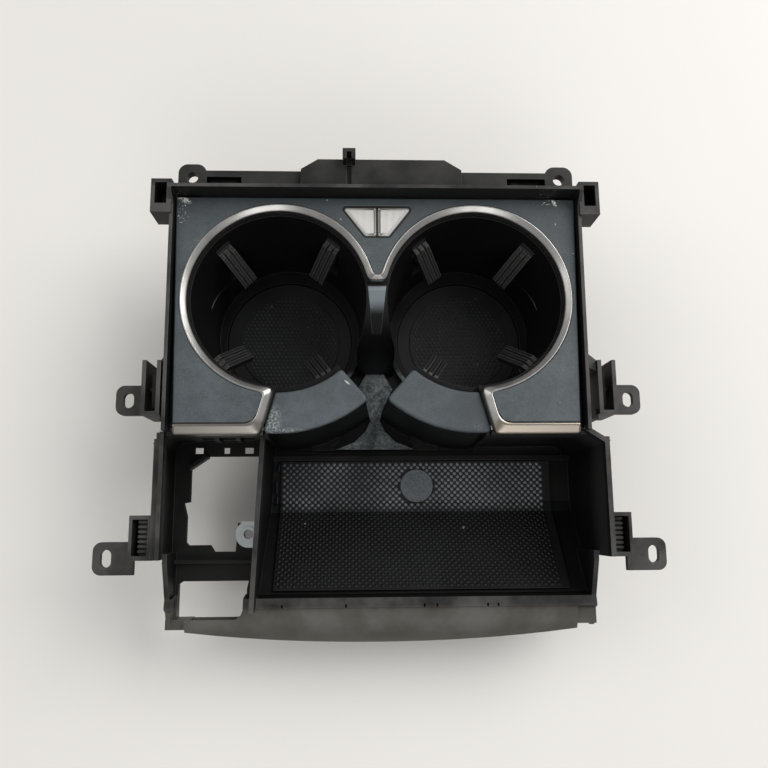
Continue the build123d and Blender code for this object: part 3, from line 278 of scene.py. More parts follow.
def soft_touch():
    """Slate soft-touch coat: speckled, paler edges (partly rubbed wear, partly painted edge highlight), white
    chips; painted shade darkens the tongue's lower end, the panel's rear and the right arm's root.
    """
    p = Paint("soft_touch")
    edge, rounded = p.edges(0.6 * MM)
    grain = p.noise(1900, 3.0, 0.65)
    cloud = p.noise(45, 4.0, 0.6)
    flake = p.noise(950, 4.0, 0.7)
    mottle = p.noise(210, 5.0, 0.75)
    lint = p.noise(320, 2.0, 0.5)
    slate = p.mix(cloud.step(0.3, 0.7), (0.054, 0.067, 0.076), (0.086, 0.102, 0.114))
    slate = p.mix(mottle.step(0.42, 0.62) * 0.45, slate, (0.043, 0.053, 0.060))
    slate = p.mix(grain.step(0.38, 0.72) * 0.5, slate, (0.124, 0.144, 0.157))
    arms = p.z.step(-4.0 * MM, -4.6 * MM)
    tongue = p.z.step(-3 * MM, -4 * MM) * p.y.step(-24 * MM, -20 * MM)
    slate = p.mix(tongue * 0.85, slate, (0.225, 0.268, 0.295))
    # the tongue near-black towards its lower end: painted shade
    foot = tongue * p.y.step(1.5 * MM, -5.5 * MM)
    slate = p.mix(foot, slate, (0.004, 0.0045, 0.005))
    # panel darker towards its rear: painted shade
    slate = p.mix(p.y.step(15 * MM, 48 * MM) * (1 - tongue) * 0.45, slate, (0.030, 0.038, 0.042))
    # darker patch at the right arm's root: painted shade
    slate = p.mix(arms * p.mark(44, -52, 11, 9, 0.6) * 0.4, slate, (0.045, 0.053, 0.058))
    bare = p.mark(-91.8, 47.6, 3.2, 1.2, 0.5, radians(-25)).most(p.mark(85.6, 47, 0.8, 1.8, 0.5, radians(30)))
    specks = p.mark(-92, 42, 2.6, 5.5, 0.6).most(p.mark(82, 47.4, 5.0, 1.2, 0.7))
    chips = (bare * flake.step(0.46, 0.50)).most(specks * flake.step(0.60, 0.64))
    root = p.mark(-48.5, -58, 3.4, 6.5, 0.6).most(p.mark(-42, -62.5, 9, 1.0, 0.6) * 0.7)
    scuff = p.mark(46.2, -60.6, 2.2, 1.8, 0.8) * grain.step(0.52, 0.66)
    wear = (root * flake.step(0.44, 0.62)).most(scuff * 0.6) * arms
    scratch = arms * p.mark(-14.2, -40, 1.5, 0.35, 0.5, radians(-40))
    # paler edges: partly rubbed wear, partly painted edge highlight
    colour = p.mix(edge.step(0.02, 0.3) * 0.5, slate, (0.30, 0.32, 0.33))
    rubbed = (wear * 0.5).most(scratch * 0.85).most(lint.step(0.765, 0.785) * 0.5)
    colour = p.mix(rubbed, colour, (0.56, 0.62, 0.61))
    colour = p.mix(chips, colour, (0.86, 0.87, 0.84))
    rough = 0.50 + 0.14 * grain + 0.35 * foot
    normal = p.bump(grain, 0.04 * MM, rounded)
    return p.set(Base_Color=colour, Roughness=rough, Normal=normal, Specular_IOR_Level=0.4)


def satin_chrome():
    """Satin plating: soft reflections with very fine brushing and a few dull smudges; each front strip darker and
    warmer as painted reflection.
    """
    p = Paint("satin_chrome")
    fine = p.noise(900, 3.0, 0.6, stretch=(1.0, 1.0, 6.0))
    smudge = p.noise(70, 4.0, 0.6)
    colour = p.mix(smudge.step(0.35, 0.75), (0.45, 0.447, 0.44), (0.33, 0.325, 0.315))
    # front strip on each side: darker, the right one warmer, as painted reflection
    painted_strip_reflection = p.y.step(-57 * MM, -60 * MM)
    colour = p.mix(painted_strip_reflection * p.x.step(20 * MM, -20 * MM), colour, (0.265, 0.253, 0.235))
    colour = p.mix(painted_strip_reflection * p.x.step(-20 * MM, 20 * MM), colour, (0.32, 0.285, 0.245))
    rough = 0.27 + 0.05 * fine + 0.06 * smudge
    return p.set(Base_Color=colour, Roughness=rough, Metallic=1.0)


def mat_rubber():
    """Black rubber with a dusty bloom and lint specks."""
    p = Paint("mat_rubber")
    edge, rounded = p.edges(0.3 * MM)
    grain = p.noise(2400, 2.0, 0.6)
    bloom = p.noise(30, 4.0, 0.6)
    lint = p.noise(240, 2.0, 0.5)
    colour = p.mix(bloom.step(0.35, 0.75), (0.009, 0.0095, 0.010), (0.016, 0.017, 0.018))
    colour = p.mix(lint.step(0.755, 0.775) * 0.7, colour, (0.35, 0.36, 0.36))
    # paler edges: painted edge highlight
    colour = p.mix(edge.step(0.04, 0.3) * 0.2, colour, (0.12, 0.12, 0.12))
    rough = 0.30 + 0.14 * grain
    normal = p.bump(grain, 0.03 * MM, rounded)
    return p.set(Base_Color=colour, Roughness=rough, Normal=normal, Specular_IOR_Level=0.25)


def stud_rubber():
    """Studs of the mats: on the tray's flat paler, as painted sheen, and smoother; on its ramp near-black, as
    painted shade; dark grey in the cups.
    """
    p = Paint("stud_rubber")
    # the tray's flat: studs paler there as painted sheen; on the ramp they are near-black as painted shade
    flat = p.y.step(-100 * MM, -94 * MM)
    bloom = p.noise(30, 4.0, 0.6)
    pale = p.mix(bloom.step(0.3, 0.7), (0.070, 0.082, 0.088), (0.215, 0.240, 0.250))
    cups = p.y.step(-62 * MM, -58 * MM)
    colour = p.mix(flat, (0.004, 0.0042, 0.0044), pale)
    colour = p.mix(cups, colour, p.mix(bloom.step(0.3, 0.7), (0.022, 0.024, 0.026), (0.040, 0.044, 0.047)))
    return p.set(Base_Color=colour, Roughness=0.46 - 0.18 * flat, Specular_IOR_Level=0.35)


def badge_rubber():
    """Paler bare disc on the tray mat."""
    p = Paint("badge_rubber")
    grain = p.noise(1500, 3.0, 0.6)
    colour = p.mix(grain.step(0.25, 0.75), (0.060, 0.073, 0.084), (0.150, 0.172, 0.190))
    return p.set(Base_Color=colour, Roughness=0.42 + 0.12 * grain, Normal=p.bump(grain, 0.03 * MM))


def finger_plastic():
    """Black matt grip fingers; the edges of their bars paler as painted highlight."""
    p = Paint("finger_plastic")
    edge, rounded = p.edges(0.6 * MM)
    grain = p.noise(2200, 2.0, 0.6)
    # paler bar edges: painted highlight
    colour = p.mix(edge.step(0.02, 0.22) * 0.75, (0.018, 0.018, 0.0185), (0.25, 0.25, 0.253))
    return p.set(Base_Color=colour, Roughness=0.30 + 0.14 * grain, Normal=p.bump(grain, 0.03 * MM, rounded))


def key_silver():
    """Satin silver coat of the two buttons."""
    p = Paint("key_silver")
    fine = p.noise(1500, 3.0, 0.6)
    colour = p.mix(fine, (0.48, 0.48, 0.465), (0.58, 0.58, 0.565))
    return p.set(Base_Color=colour, Roughness=0.40 + 0.12 * fine, Metallic=0.35)


def bezel_black():
    p = Paint("bezel_black")
    grain = p.noise(2600, 2.0, 0.6)
    colour = p.mix(grain, (0.006, 0.006, 0.007), (0.011, 0.011, 0.012))
    return p.set(Base_Color=colour, Roughness=0.30 + 0.1 * grain)


def plated_steel(name, tone, spread, rough):
    """Bare or zinc-plated steel with a faint spangle."""
    p = Paint(name)
    _, rounded = p.edges(0.25 * MM)
    spangle = p.noise(420, 4.0, 0.65)
    dark, pale = tuple(c - spread for c in tone), tuple(c + spread for c in tone)
    colour = p.mix(spangle, dark, pale)
    return p.set(Base_Color=colour, Roughness=rough + 0.14 * spangle, Metallic=1.0,
                 Normal=p.bump(spangle, 0.02 * MM, rounded))


def board_green():
    p = Paint("board_green")
    weave = p.noise(1500, 2.0, 0.5)
    colour = p.mix(weave, (0.020, 0.075, 0.035), (0.035, 0.115, 0.055))
    return p.set(Base_Color=colour, Roughness=0.35 + 0.1 * weave)


def dome_rubber():
    p = Paint("dome_rubber")
    grain = p.noise(1500, 2.0, 0.5)
    colour = p.mix(grain, (0.30, 0.31, 0.31), (0.40, 0.41, 0.41))
    return p.set(Base_Color=colour, Roughness=0.5 + 0.1 * grain, Subsurface_Weight=0.1)


FINISH = {
    "frame_plastic": grained_plastic(), "housing_plastic": housing_plastic(), "soft_touch": soft_touch(),
    "satin_chrome": satin_chrome(), "mat_rubber": mat_rubber(), "finger_plastic": finger_plastic(),
    "key_silver": key_silver(), "bezel_black": bezel_black(), "board_green": board_green(),
    "dome_rubber": dome_rubber(),
    "spring_steel": plated_steel("spring_steel", (0.52, 0.51, 0.49), 0.06, 0.22),
    "zinc_steel": plated_steel("zinc_steel", (0.52, 0.56, 0.575), 0.10, 0.36),
}
STUD_RUBBER = stud_rubber()
for subpart in frame["record"]["subparts"]:
    for held in frame["nodes"][subpart["node"]].material_slots:
        held.material = FINISH[subpart["material_slot"]]


# Surfaces

def lay(points):
    """Points measured from the cup line and the panel's top, as points of the frame."""
    return points + np.array((MID_X, CUP_Y, PANEL_TOP))


def quads(rows, cols, wrap=False, first=0):
    """Faces of a grid of rows x cols points numbered row by row; wrap joins the last column to the first."""
    i, j = np.meshgrid(np.arange(rows - 1), np.arange(cols if wrap else cols - 1), indexing="ij")
    k = (j + 1) % cols
    low, high = i * cols, (i + 1) * cols
    return first + np.stack((low + j, low + k, high + k, high + j), -1).reshape(-1, 4)


def piece(name, points, faces, slot, body="carrier", finish=None):
    """A mesh object at the origin that rides on a body and takes its finish from a material slot."""
    mesh = bpy.data.meshes.new(name)
    mesh.from_pydata(points.tolist(), [], [list(map(int, f)) for f in faces])
    mesh.polygons.foreach_set("use_smooth", np.ones(len(mesh.polygons), bool))
    mesh.materials.append(finish or FINISH[slot])
    made = bpy.data.objects.new(name, mesh)
    bpy.context.scene.collection.objects.link(made)
    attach(made, body)
    return made


def corner(before, at, after, radius, count=9):
    """Arc of a radius that rounds the corner at a point between two straight runs."""
    a, b = before - at, after - at
    a, b = a / np.linalg.norm(a), b / np.linalg.norm(b)
    half = np.arccos(np.clip(a @ b, -1, 1)) / 2
    centre = at + (a + b) / np.linalg.norm(a + b) * radius / np.sin(half)
    start, end = at + a * radius / np.tan(half) - centre, at + b * radius / np.tan(half) - centre
    share = np.linspace(0, 1, count)[:, None]
    total = pi - 2 * half
    return centre + (np.sin((1 - share) * total) * start + np.sin(share * total) * end) / np.sin(total)


def rounded_polygon(points, radii, count=9):
    """Closed outline with every corner rounded by its own radius."""
    pts = [np.array(p, float) for p in points]
    arcs = [corner(pts[i - 1], pts[i], pts[(i + 1) % len(pts)], r, count) for i, r in enumerate(radii)]
    return np.concatenate(arcs)


def inset(outline, distance):
    """A counter-clockwise closed outline moved inwards: each point along the mean normal of its two edges."""
    ahead = np.roll(outline, -1, 0) - outline
    ahead /= np.linalg.norm(ahead, axis=1, keepdims=True)
    normal = np.stack((-ahead[:, 1], ahead[:, 0]), 1)
    mean = normal + np.roll(normal, 1, 0)
    return outline + mean * (2 * distance / (mean ** 2).sum(1, keepdims=True))


def slab(outline, rings):
    """Closed body from a counter-clockwise outline: one ring for each (inset, height), both ends capped."""
    turns = [np.column_stack((inset(outline, d), np.full(len(outline), z))) for d, z in rings]
    n = len(outline)
    faces = list(quads(len(rings), n, wrap=True))
    faces.append(np.arange(n)[::-1])
    faces.append(np.arange(n) + n * (len(rings) - 1))
    return np.concatenate(turns), faces


def blocks(name, boxes, radius, rings, slot, finish=None):
    """Small upright blocks as one piece: each box (x0, y0, x1, y1) in mm gives a round-cornered outline."""
    points, faces, first = [], [], 0
    for x0, y0, x1, y1 in boxes:
        outline = np.array([(x0, y0), (x1, y0), (x1, y1), (x0, y1)]) * MM
        block, sides = slab(rounded_polygon(outline, [radius] * 4, 5), rings)
        points.append(block)
        faces += [f + first for f in sides]
        first += len(block)
    piece(name, lay(np.concatenate(points)), faces, slot, finish=finish)


def revolve(profile, count):
    """Profile of (radius, height) turned about Z, from a point on the axis to a point on the axis."""
    a = np.linspace(0, 2 * pi, count, endpoint=False)
    r, z = np.array(profile[1:-1], float).T
    body = np.stack((r[:, None] * np.cos(a), r[:, None] * np.sin(a), np.repeat(z[:, None], count, 1)), -1)
    points = np.concatenate((body.reshape(-1, 3), [(0, 0, profile[0][1]), (0, 0, profile[-1][1])]))
    n, j = len(points), np.arange(count)
    k = (j + 1) % count
    last = (len(r) - 1) * count
    faces = list(quads(len(r), count, wrap=True))
    faces += list(np.stack((np.full(count, n - 2), k, j), 1))
    faces += list(np.stack((np.full(count, n - 1), last + j, last + k), 1))
    return points, faces


def studs(places, axes, radius, height, sides=8):
    """Many small domes: each has a foot ring, a shoulder ring and a top point along its own axis."""
    a = np.linspace(0, 2 * pi, sides, endpoint=False)
    up = axes / np.linalg.norm(axes, axis=1, keepdims=True)
    across = np.cross(up, (0.0, 1.0, 0.0))
    across /= np.linalg.norm(across, axis=1, keepdims=True)
    along = np.cross(up, across)
    ring = np.cos(a)[:, None] * across[:, None, :] + np.sin(a)[:, None] * along[:, None, :]
    foot = places[:, None, :] + ring * radius
    shoulder = places[:, None, :] + ring * radius * 0.66 + up[:, None, :] * height * 0.72
    top = places[:, None, :] + up[:, None, :] * height
    points = np.concatenate((foot, shoulder, top), 1)
    j = np.arange(sides)
    k = (j + 1) % sides
    wall = np.stack((j, k, sides + k, sides + j), 1)
    cap = np.stack((sides + j, sides + k, np.full(sides, 2 * sides)), 1)
    first = np.arange(len(places))[:, None, None] * (2 * sides + 1)
    return points.reshape(-1, 3), [*(first + wall).reshape(-1, 4), *(first + cap).reshape(-1, 3)]


# Chrome

def gap_x(y, k):
    """Half gap between the chrome ends at y; k is 0 on the panel's side and 1 on the cup's side."""
    return GAP_REAR_X + (GAP_REAR_Y - y) * GAP_SLOPE + (1 - k) * GAP_EXTRA


def trim_line(k):
    """Left half of the chrome from above at the share k of its width: strip, diagonal, ring, blunt tip."""
    front = PANEL_FRONT - k * STRIP_W
    ring = RING_R - k * TRIM_W
    tip = VEE_Y - k * TIP_W
    end = np.array((-PANEL_FRONT_HALF, front))
    bend = np.array((-gap_x(front, k), front))
    y = np.linspace(GAP_REAR_Y - 8 * MM, GAP_REAR_Y + 8 * MM, 2001)
    off = np.abs(np.hypot(CUP_X - gap_x(y, k), y) - ring)
    meet = np.array((-gap_x(y[off.argmin()], k), y[off.argmin()]))
    start = atan2(meet[1], meet[0] + CUP_X) % (2 * pi)
    stop = atan2(tip, np.sqrt(ring ** 2 - tip ** 2))
    a = np.linspace(start, stop, 260)
    arc = np.column_stack((-CUP_X + ring * np.cos(a), ring * np.sin(a)))
    along = np.linspace(0, 1, 61)[:, None]
    turn = corner(end, bend, meet, 1.31 * STRIP_CORNER * (1 - 0.6 * k), 15)
    strip = end + (turn[0] - end) * along
    lift = turn[-1] + (meet - turn[-1]) * along[1::2]
    flat = arc[-1] + (np.array((0.0, tip)) - arc[-1]) * np.linspace(0, 1, 9)[1:, None]
    return np.concatenate((strip, turn[1:], lift, arc[1:], flat))


def soften(line, width):
    """Corners of a line rounded: a running mean along the line, its two ends kept."""
    kernel = np.hanning(width + 2)[1:-1]
    pad = width // 2
    long = np.concatenate((np.repeat(line[:1], pad, 0), line, np.repeat(line[-1:], pad, 0)))
    out = np.column_stack([np.convolve(long[:, i], kernel / kernel.sum(), "valid") for i in range(2)])
    out[[0, -1]] = line[[0, -1]]
    return out


def chrome_trim():
    """Chrome frame: the profile (share of width, height) carried along the line from strip to strip."""
    crest = [(0.03, -5.1), (0.03, -0.1), (0.045, 0.22), (0.08, 0.42), (0.13, 0.54), (0.19, 0.59)]
    band = [(0.25, 0.56), (0.30, 0.46), (0.36, 0.28), (0.48, -0.06), (0.62, -0.46), (0.75, -0.84)]
    lip = [(0.86, -1.20), (0.93, -1.62), (0.975, -2.40), (1.0, -3.60), (1.0, -5.1)]
    profile = crest + band + lip
    outer, inner = trim_line(0), trim_line(1)
    rows = []
    for k, z in profile:
        half = soften(outer + (inner - outer) * k, 15)
        whole = np.concatenate((half, half[-2::-1] * (-1, 1)))
        rows.append(np.column_stack((whole, np.full(len(whole), z * MM))))
    rows = np.stack(rows)
    n = rows.shape[1]
    faces = list(quads(len(profile) + 1, n) % (len(profile) * n))
    faces.append(np.arange(len(profile)) * n)
    faces.append(np.arange(len(profile))[::-1] * n + n - 1)
    made = piece("chrome_ring_trim", lay(rows.reshape(-1, 3)), faces, "satin_chrome")
    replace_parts(made, "chrome_trim")


# Arm tops

def arm_outline():
    """Left arm from above: inner arc, free end with rounded corners, outer arc, end beside the chrome."""
    def on_gap(radius):
        y = np.linspace(-radius, -radius * 0.85, 4001)
        off = np.abs(np.hypot(CUP_X - gap_x(y, 1) + ARM_CLEAR, y) - radius)
        return atan2(y[off.argmin()], CUP_X - gap_x(y[off.argmin()], 1) + ARM_CLEAR)

    def arc(radius, a, b, count):
        t = np.linspace(a, b, count)
        return np.column_stack((-CUP_X + radius * np.cos(t), radius * np.sin(t)))
    outer = arc(ARM_OUT_R, on_gap(ARM_OUT_R), ARM_END, 60)
    inner = arc(ARM_IN_R, ARM_END, on_gap(ARM_IN_R), 60)
    ends = ((outer[-5], outer[-1], inner[0]), (outer[-1], inner[0], inner[4]),
            (inner[-5], inner[-1], outer[0]), (inner[-1], outer[0], outer[4]))
    arcs = [corner(*turn, radius) for turn, radius in zip(ends, (2.2 * MM, 1.8 * MM, 1.7 * MM, 1.7 * MM))]
    return np.concatenate((outer[4:-4], arcs[0], arcs[1], inner[5:-5], arcs[2], arcs[3]))


def arm_tops():
    """Soft-touch arm tops: flat with a rounded upper edge."""
    low, high, r = -9.0 * MM, -5.0 * MM, 1.3 * MM
    a = np.linspace(0, pi / 2, 7)
    rings = [(0, low)] + list(zip(r * (1 - np.cos(a)), high - r + r * np.sin(a))) + [(r + 0.25 * MM, high)]
    outline = arm_outline()
    for side, sign in SIDES:
        flat = outline if sign < 0 else outline[::-1] * (-1, 1)
        points, faces = slab(flat, rings)
        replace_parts(piece(f"{side}_arm_top", lay(points), faces, "soft_touch"), f"{side}_arm_cap")


# Buttons

def key_half(y, inside):
    """Half width of the button field at y, drawn in from the button's slanted edge."""
    return KEY_FRONT_HALF + (y - KEY_FRONT_Y) * KEY_SLOPE - (KEY_INSET + inside) * hypot(1, KEY_SLOPE)


def key_outline():
    """Left button from above, counter-clockwise, corners rounded."""
    rear, front = KEY_REAR_Y - KEY_INSET, KEY_FRONT_Y + KEY_INSET
    wide, narrow = -key_half(rear, 0), -key_half(front, 0)
    points = [(-KEY_SPLIT, rear), (wide, rear), (narrow, front), (-KEY_SPLIT, front)]
    return rounded_polygon(points, (0.35 * MM, 0.9 * MM, 0.9 * MM, 0.35 * MM))


def button_caps():
    """Silver caps: skirt, wide bright bevel, a groove, and a flat field with fine upright ribs."""
    top, sunk = 0.4 * MM, 0.24 * MM
    rings = [(0, -4.2 * MM), (0, -0.25 * MM), (0.08 * MM, -0.1 * MM), (0.9 * MM, top - 0.04 * MM),
             (1.02 * MM, top), (1.14 * MM, top - 0.02 * MM), (1.2 * MM, sunk), (1.36 * MM, sunk)]
    outline = key_outline()
    border = 1.25 * MM
    y0, y1 = KEY_FRONT_Y + KEY_INSET + border, KEY_REAR_Y - KEY_INSET - border
    ribs = 22
    rib = np.linspace(-key_half(y1, border), -KEY_SPLIT - border, 8 * ribs + 1)
    rise = sunk + 0.12 * MM * np.abs(np.sin(np.linspace(0, ribs * pi, rib.size)))
    near = np.clip(y0 + (-rib - key_half(y0, border)) / KEY_SLOPE, y0, y1 - 0.01 * MM)
    for side, sign in SIDES:
        flat = outline if sign < 0 else outline[::-1] * (-1, 1)
        points, faces = slab(flat, rings)
        far = np.full(rib.size, y1)
        field = np.stack((np.column_stack((rib, near, rise)), np.column_stack((rib, far, rise))))
        field = field if sign < 0 else field[:, ::-1] * (-1, 1, 1)
        faces += list(quads(2, rib.size, first=len(points)))
        foot, neck, stem_r = -4.6 * MM, -1 * MM, 1.6 * MM
        stem, stem_faces = revolve([(0, foot), (stem_r, foot), (stem_r, neck), (0, neck)], 24)
        low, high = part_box(f"{side}_key_dome")
        stem += ((low.x + high.x) / 2 - MID_X, (low.y + high.y) / 2 - CUP_Y, 0)
        first = len(points) + field.reshape(-1, 3).shape[0]
        faces += [f + first for f in stem_faces]
        points = np.concatenate((points, field.reshape(-1, 3), stem))
        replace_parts(piece(f"{side}_button_cap", lay(points), faces, "key_silver", f"{side}_button_body"),
                    f"{side}_button")


# Mats

def cup_mat_studs():
    """Hexagonal field of small domes on each cup mat."""
    pitch = 2.3 * MM
    for side, _ in SIDES:
        low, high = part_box(f"{side}_cup_mat")
        centre = (np.array(low) + np.array(high)) / 2
        i, j = np.meshgrid(np.arange(-14, 15), np.arange(-16, 17), indexing="ij")
        x, y = ((i + 0.5 * (j % 2)) * pitch).ravel(), (j * pitch * 0.866).ravel()
        keep = np.hypot(x, y) < 25.6 * MM
        places = np.column_stack((x[keep], y[keep], np.zeros(keep.sum())))
        places += (centre[0], centre[1], high.z - 0.05 * MM)
        axes = np.tile((0.0, 0.0, 1.0), (len(places), 1))
        points, faces = studs(places, axes, 0.82 * MM, 0.5 * MM)
        piece(f"{side}_cup_mat_studs", points, faces, "mat_rubber", finish=STUD_RUBBER)


def tray_line(share):
    """Upper side of the tray mat from the side: flat, bevelled fold, ramp; share is the length along it."""
    low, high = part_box("tray_mat")
    floor = low.z + MAT_T
    fold, cut = CUP_Y + FOLD_Y, FOLD_CUT
    rear, front = high.y, low.y
    rise = atan2(high.z - floor, fold - front)
    flat, bevel = rear - fold - cut, 2 * cut * cos(rise / 2)
    turn = np.clip(share - flat, 0, bevel)
    run = np.clip(share - flat - bevel, 0, None)
    y = rear - np.clip(share, 0, flat) - turn * cos(rise / 2) - run * cos(rise)
    z = floor + turn * sin(rise / 2) + run * sin(rise)
    lean = np.where(run > 0, rise, np.where(turn > 0, rise / 2, 0.0))
    return y, z, lean, flat + bevel + hypot(high.z - floor, fold - front) - cut


def tray_mat_studs():
    """Staggered studs over the tray mat, flat and ramp, with the round field left bare."""
    low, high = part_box("tray_mat")
    row, pitch, margin = 1.65 * MM, 3.3 * MM, 1.7 * MM
    length = tray_line(np.zeros(1))[3]
    rows = np.arange(margin, length - margin, row)
    across = int((high.x - low.x - 2 * margin) / pitch)
    n, m = np.meshgrid(np.arange(rows.size), np.arange(across), indexing="ij")
    x = (low.x + margin + (m + 0.5 * (n % 2)) * pitch).ravel()
    share = rows[n].ravel()
    y, z, lean, _ = tray_line(share)
    keep = np.hypot(x - MID_X - BADGE_X, y - CUP_Y - BADGE_Y) > BADGE_CLEAR
    places = np.column_stack((x, y, z - 0.06 * MM))[keep]
    axes = np.column_stack((np.zeros(x.size), np.sin(lean), np.cos(lean)))[keep]
    points, faces = studs(places, axes, 1.02 * MM, 0.75 * MM)
    piece("tray_mat_studs", points, faces, "mat_rubber", finish=STUD_RUBBER)


def tray_badge():
    """Bare round field of the tray mat: a shallow dish inside a rounded rim."""
    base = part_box("tray_mat")[0].z + MAT_T
    profile = [(0, base), (BADGE_R, base), (BADGE_R, base + 0.55 * MM), (8.55 * MM, base + 0.86 * MM),
               (8.2 * MM, base + 0.95 * MM), (7.85 * MM, base + 0.88 * MM), (7.65 * MM, base + 0.74 * MM),
               (7.2 * MM, base + 0.72 * MM), (0, base + 0.78 * MM)]
    points, faces = revolve(profile, 96)
    points += (MID_X + BADGE_X, CUP_Y + BADGE_Y, 0)
    piece("tray_badge", points, faces, "mat_rubber", finish=badge_rubber())


def tray_mat_tabs():
    """Three small upright tabs on the mat's edge beside the partition, with rounded outlines and tops."""
    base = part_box("tray_mat")[0].z - PANEL_TOP
    rings = [(0, base), (0, base + 2.3 * MM), (0.12 * MM, base + 2.5 * MM), (0.3 * MM, base + 2.6 * MM)]
    boxes = [(-51.8, -77.1, -50.6, -73.2), (-52.8, -88.9, -51.6, -82.4), (-52.4, -94.6, -51.2, -90.2)]
    blocks("tray_mat_tabs", boxes, 0.45 * MM, rings, "mat_rubber")


def cup_wall_beads():
    """Curved bead on the outer wall of each cup: a round section carried along a line on the bore's cone."""
    share = np.linspace(0, 1, 60)
    a = np.radians(143.5 + 25.5 * share)
    z = -41.5 - 6.0 * (1 - share) ** 1.5
    bore, taper, shift, top, depth = 41.5, 3.6, 4.0, -5.2, 60.8
    fall = (top - z) / depth
    r = bore - taper * fall
    line = np.column_stack((-CUP_X / MM + r * np.cos(a), -shift * fall + r * np.sin(a), z))
    inward = np.column_stack((-np.cos(a), -np.sin(a), np.zeros(a.size)))
    t = np.linspace(0, 2 * pi, 10, endpoint=False)
    thick = 0.6 * np.clip(np.sin(pi * (0.02 + 0.96 * share)), 0, 1) ** 0.4
    ring = np.cos(t)[:, None] * inward[:, None, :] + np.sin(t)[:, None] * np.array((0.0, 0.0, 1.0))
    tube = (line[:, None, :] + ring * thick[:, None, None]) * MM
    for side, sign in SIDES:
        points = tube if sign < 0 else tube[:, ::-1] * (-1, 1, 1)
        n = points.shape[1]
        faces = list(quads(len(points), n, wrap=True))
        faces += [np.arange(n)[::-1], np.arange(n) + n * (len(points) - 1)]
        piece(f"{side}_cup_wall_bead", lay(points.reshape(-1, 3)), faces, "housing_plastic",
              finish=FINISH["finger_plastic"])


def flange_slot_floors():
    """Thin floors that close the two long slots of the rear flange from below."""
    boxes = [(-85, 51.2, -63, 58), (61, 51.2, 83, 58)]
    rings = [(0, 1.4 * MM), (0, 2.4 * MM)]
    blocks("flange_slot_floors", boxes, 0.5 * MM, rings, "frame_plastic", FINISH["housing_plastic"])


def arm_root_posts():
    """Dark post in the narrow shaft between the root of each arm and the wall beside it."""
    boxes = [(-53.1, -65.4, -50.7, -56.2), (50.7, -65.4, 53.1, -56.2)]
    rings = [(0, -58 * MM), (0, -9.5 * MM)]
    blocks("arm_root_posts", boxes, 0.2 * MM, rings, "housing_plastic")


# Springs and domes

def leaf_springs():
    """Bent leaf behind each finger: a centre line in the pocket's side view, given thickness and width."""
    back, heel, thick, half = 4.4 * MM, -27.5 * MM, 0.45 * MM, 2.8 * MM
    finger, finger_half, clear = 29 * MM, 1.3 * MM, 0.2 * MM
    lean = radians(37)
    tip_run, off = 0.52 * finger, finger_half + clear + thick
    tip = np.array((-tip_run * sin(lean) + off * cos(lean), -tip_run * cos(lean) - off * sin(lean)))
    root = np.array((back - thick / 2, -7 * MM))
    heel_at = np.array((back - thick / 2, heel))
    bend = corner(root, heel_at, tip, 0.9 * MM)
    line = np.concatenate(([root], bend, [tip]))
    run = np.gradient(line, axis=0)
    run /= np.linalg.norm(run, axis=1, keepdims=True)
    side_step = np.column_stack((-run[:, 1], run[:, 0])) * thick / 2
    section = np.concatenate((line + side_step, (line - side_step)[::-1]))
    n = len(section)
    for joint in frame["joints"]:
        if joint["type"] != "hinge":
            continue
        name = joint["child"].replace("_body", "").replace("finger", "finger_spring")
        axis = np.array(joint["axis"])
        out = np.array((-axis[1], axis[0], 0.0))
        hinge = np.array(joint["pos_m"])
        flat = hinge + section[:, :1] * out + section[:, 1:] * (0.0, 0.0, 1.0)
        points = np.concatenate((flat - axis * half, flat + axis * half))
        faces = list(quads(2, n, wrap=True)) + [np.arange(n)[::-1], np.arange(n) + n]
        made = piece(name.replace("spring", "leaf"), points, faces, "spring_steel")
        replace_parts(made, name)
        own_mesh(made)


def key_domes():
    """Rubber dome under each button: a foot, a thin cone and a rounded head, turned about its axis."""
    for side, _ in SIDES:
        low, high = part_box(f"{side}_key_dome")
        h = high.z - low.z
        profile = [(0, 0), (2.6 * MM, 0), (2.6 * MM, 0.25 * h), (2.25 * MM, 0.34 * h), (1.5 * MM, 0.92 * h),
                   (1.3 * MM, h), (0, h)]
        points, faces = revolve(profile, 40)
        points += ((low.x + high.x) / 2, (low.y + high.y) / 2, low.z)
        made = piece(f"{side}_switch_dome", points, faces, "dome_rubber")
        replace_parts(made, f"{side}_key_dome")
        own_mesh(made)


chrome_trim()
arm_tops()
button_caps()
cup_mat_studs()
tray_mat_studs()
tray_badge()
tray_mat_tabs()
cup_wall_beads()
flange_slot_floors()
arm_root_posts()
leaf_springs()
key_domes()


# Stage, light and camera

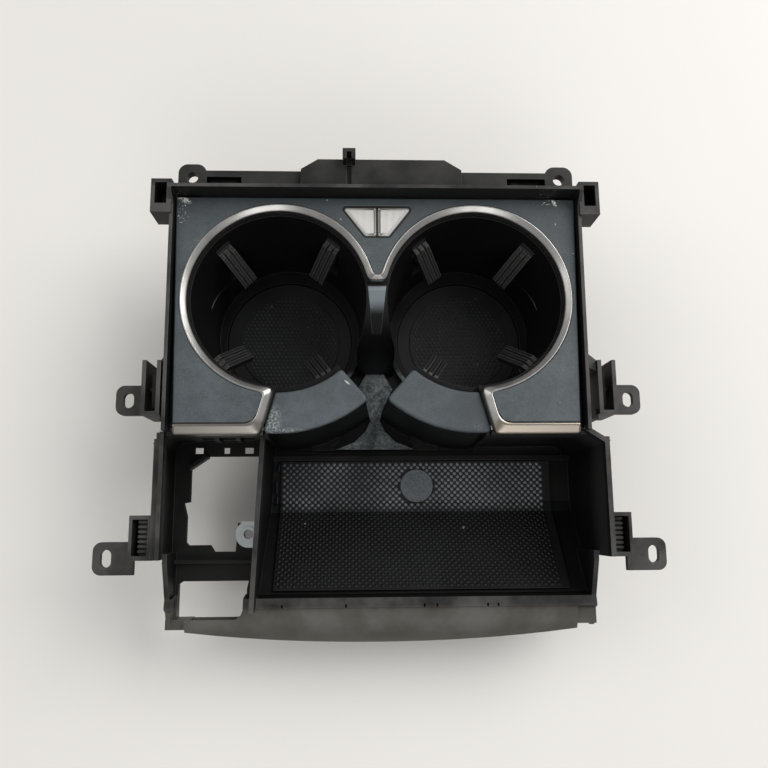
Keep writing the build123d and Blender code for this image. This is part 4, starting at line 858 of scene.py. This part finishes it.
def floor():
    """Pale floor under the part, carried far out; its own tone is all the camera sees behind the part."""
    p = Paint("floor")
    cloud = p.noise(6, 3.0, 0.5)
    p.set(Base_Color=p.mix(cloud, (0.83, 0.82, 0.80), (0.87, 0.86, 0.84)), Roughness=0.7)
    half = 4.0
    corners = [(-half, -half, 0), (half, -half, 0), (half, half, 0), (-half, half, 0)]
    mesh = bpy.data.meshes.new("floor")
    mesh.from_pydata(corners, [], [(0, 1, 2, 3)])
    mesh.materials.append(p.material)
    made = bpy.data.objects.new("floor", mesh)
    bpy.context.scene.collection.objects.link(made)


def lamp(name, at, aim, size, power, colour):
    data = bpy.data.lights.new(name, "AREA")
    data.shape = "DISK"
    data.size = size
    data.energy = power
    data.color = colour
    made = bpy.data.objects.new(name, data)
    bpy.context.scene.collection.objects.link(made)
    made.location = at
    towards = np.array(aim) - np.array(at)
    made.rotation_euler = (atan2(hypot(towards[0], towards[1]), -towards[2]), 0,
                           atan2(towards[1], towards[0]) - pi / 2)


def studio():
    world = bpy.data.worlds.new("studio")
    world.use_nodes = True
    sky = world.node_tree.nodes["Background"]
    sky.inputs["Color"].default_value = (1.0, 0.985, 0.96, 1)
    sky.inputs["Strength"].default_value = 0.42
    bpy.context.scene.world = world
    lamp("window", (0.80, 0.55, 0.95), (0, 0, 0), 1.0, 11.0, (1.0, 0.985, 0.96))
    lamp("left_wall", (-0.85, 0.25, 0.80), (0, 0, 0), 0.8, 2.4, (1.0, 0.985, 0.96))
    lamp("front_wall", (0.10, -1.00, 0.85), (0, 0, 0), 0.8, 3.4, (1.0, 0.985, 0.96))


def camera():
    """Camera at the photo's viewing angle, from a fit to the cup rings."""
    data = bpy.data.cameras.new("camera")
    data.sensor_width = 36.0
    data.lens = 36.05
    data.clip_start = 0.01
    made = bpy.data.objects.new("camera", data)
    made.location = (MID_X - 9.86 * MM, CUP_Y - 104.53 * MM, PANEL_TOP + 347.17 * MM)
    made.rotation_euler = Euler((radians(10.267), radians(-1.996), radians(-0.442)))
    bpy.context.scene.collection.objects.link(made)
    bpy.context.scene.camera = made


floor()
studio()
camera()
bpy.context.scene.view_settings.view_transform = "Standard"
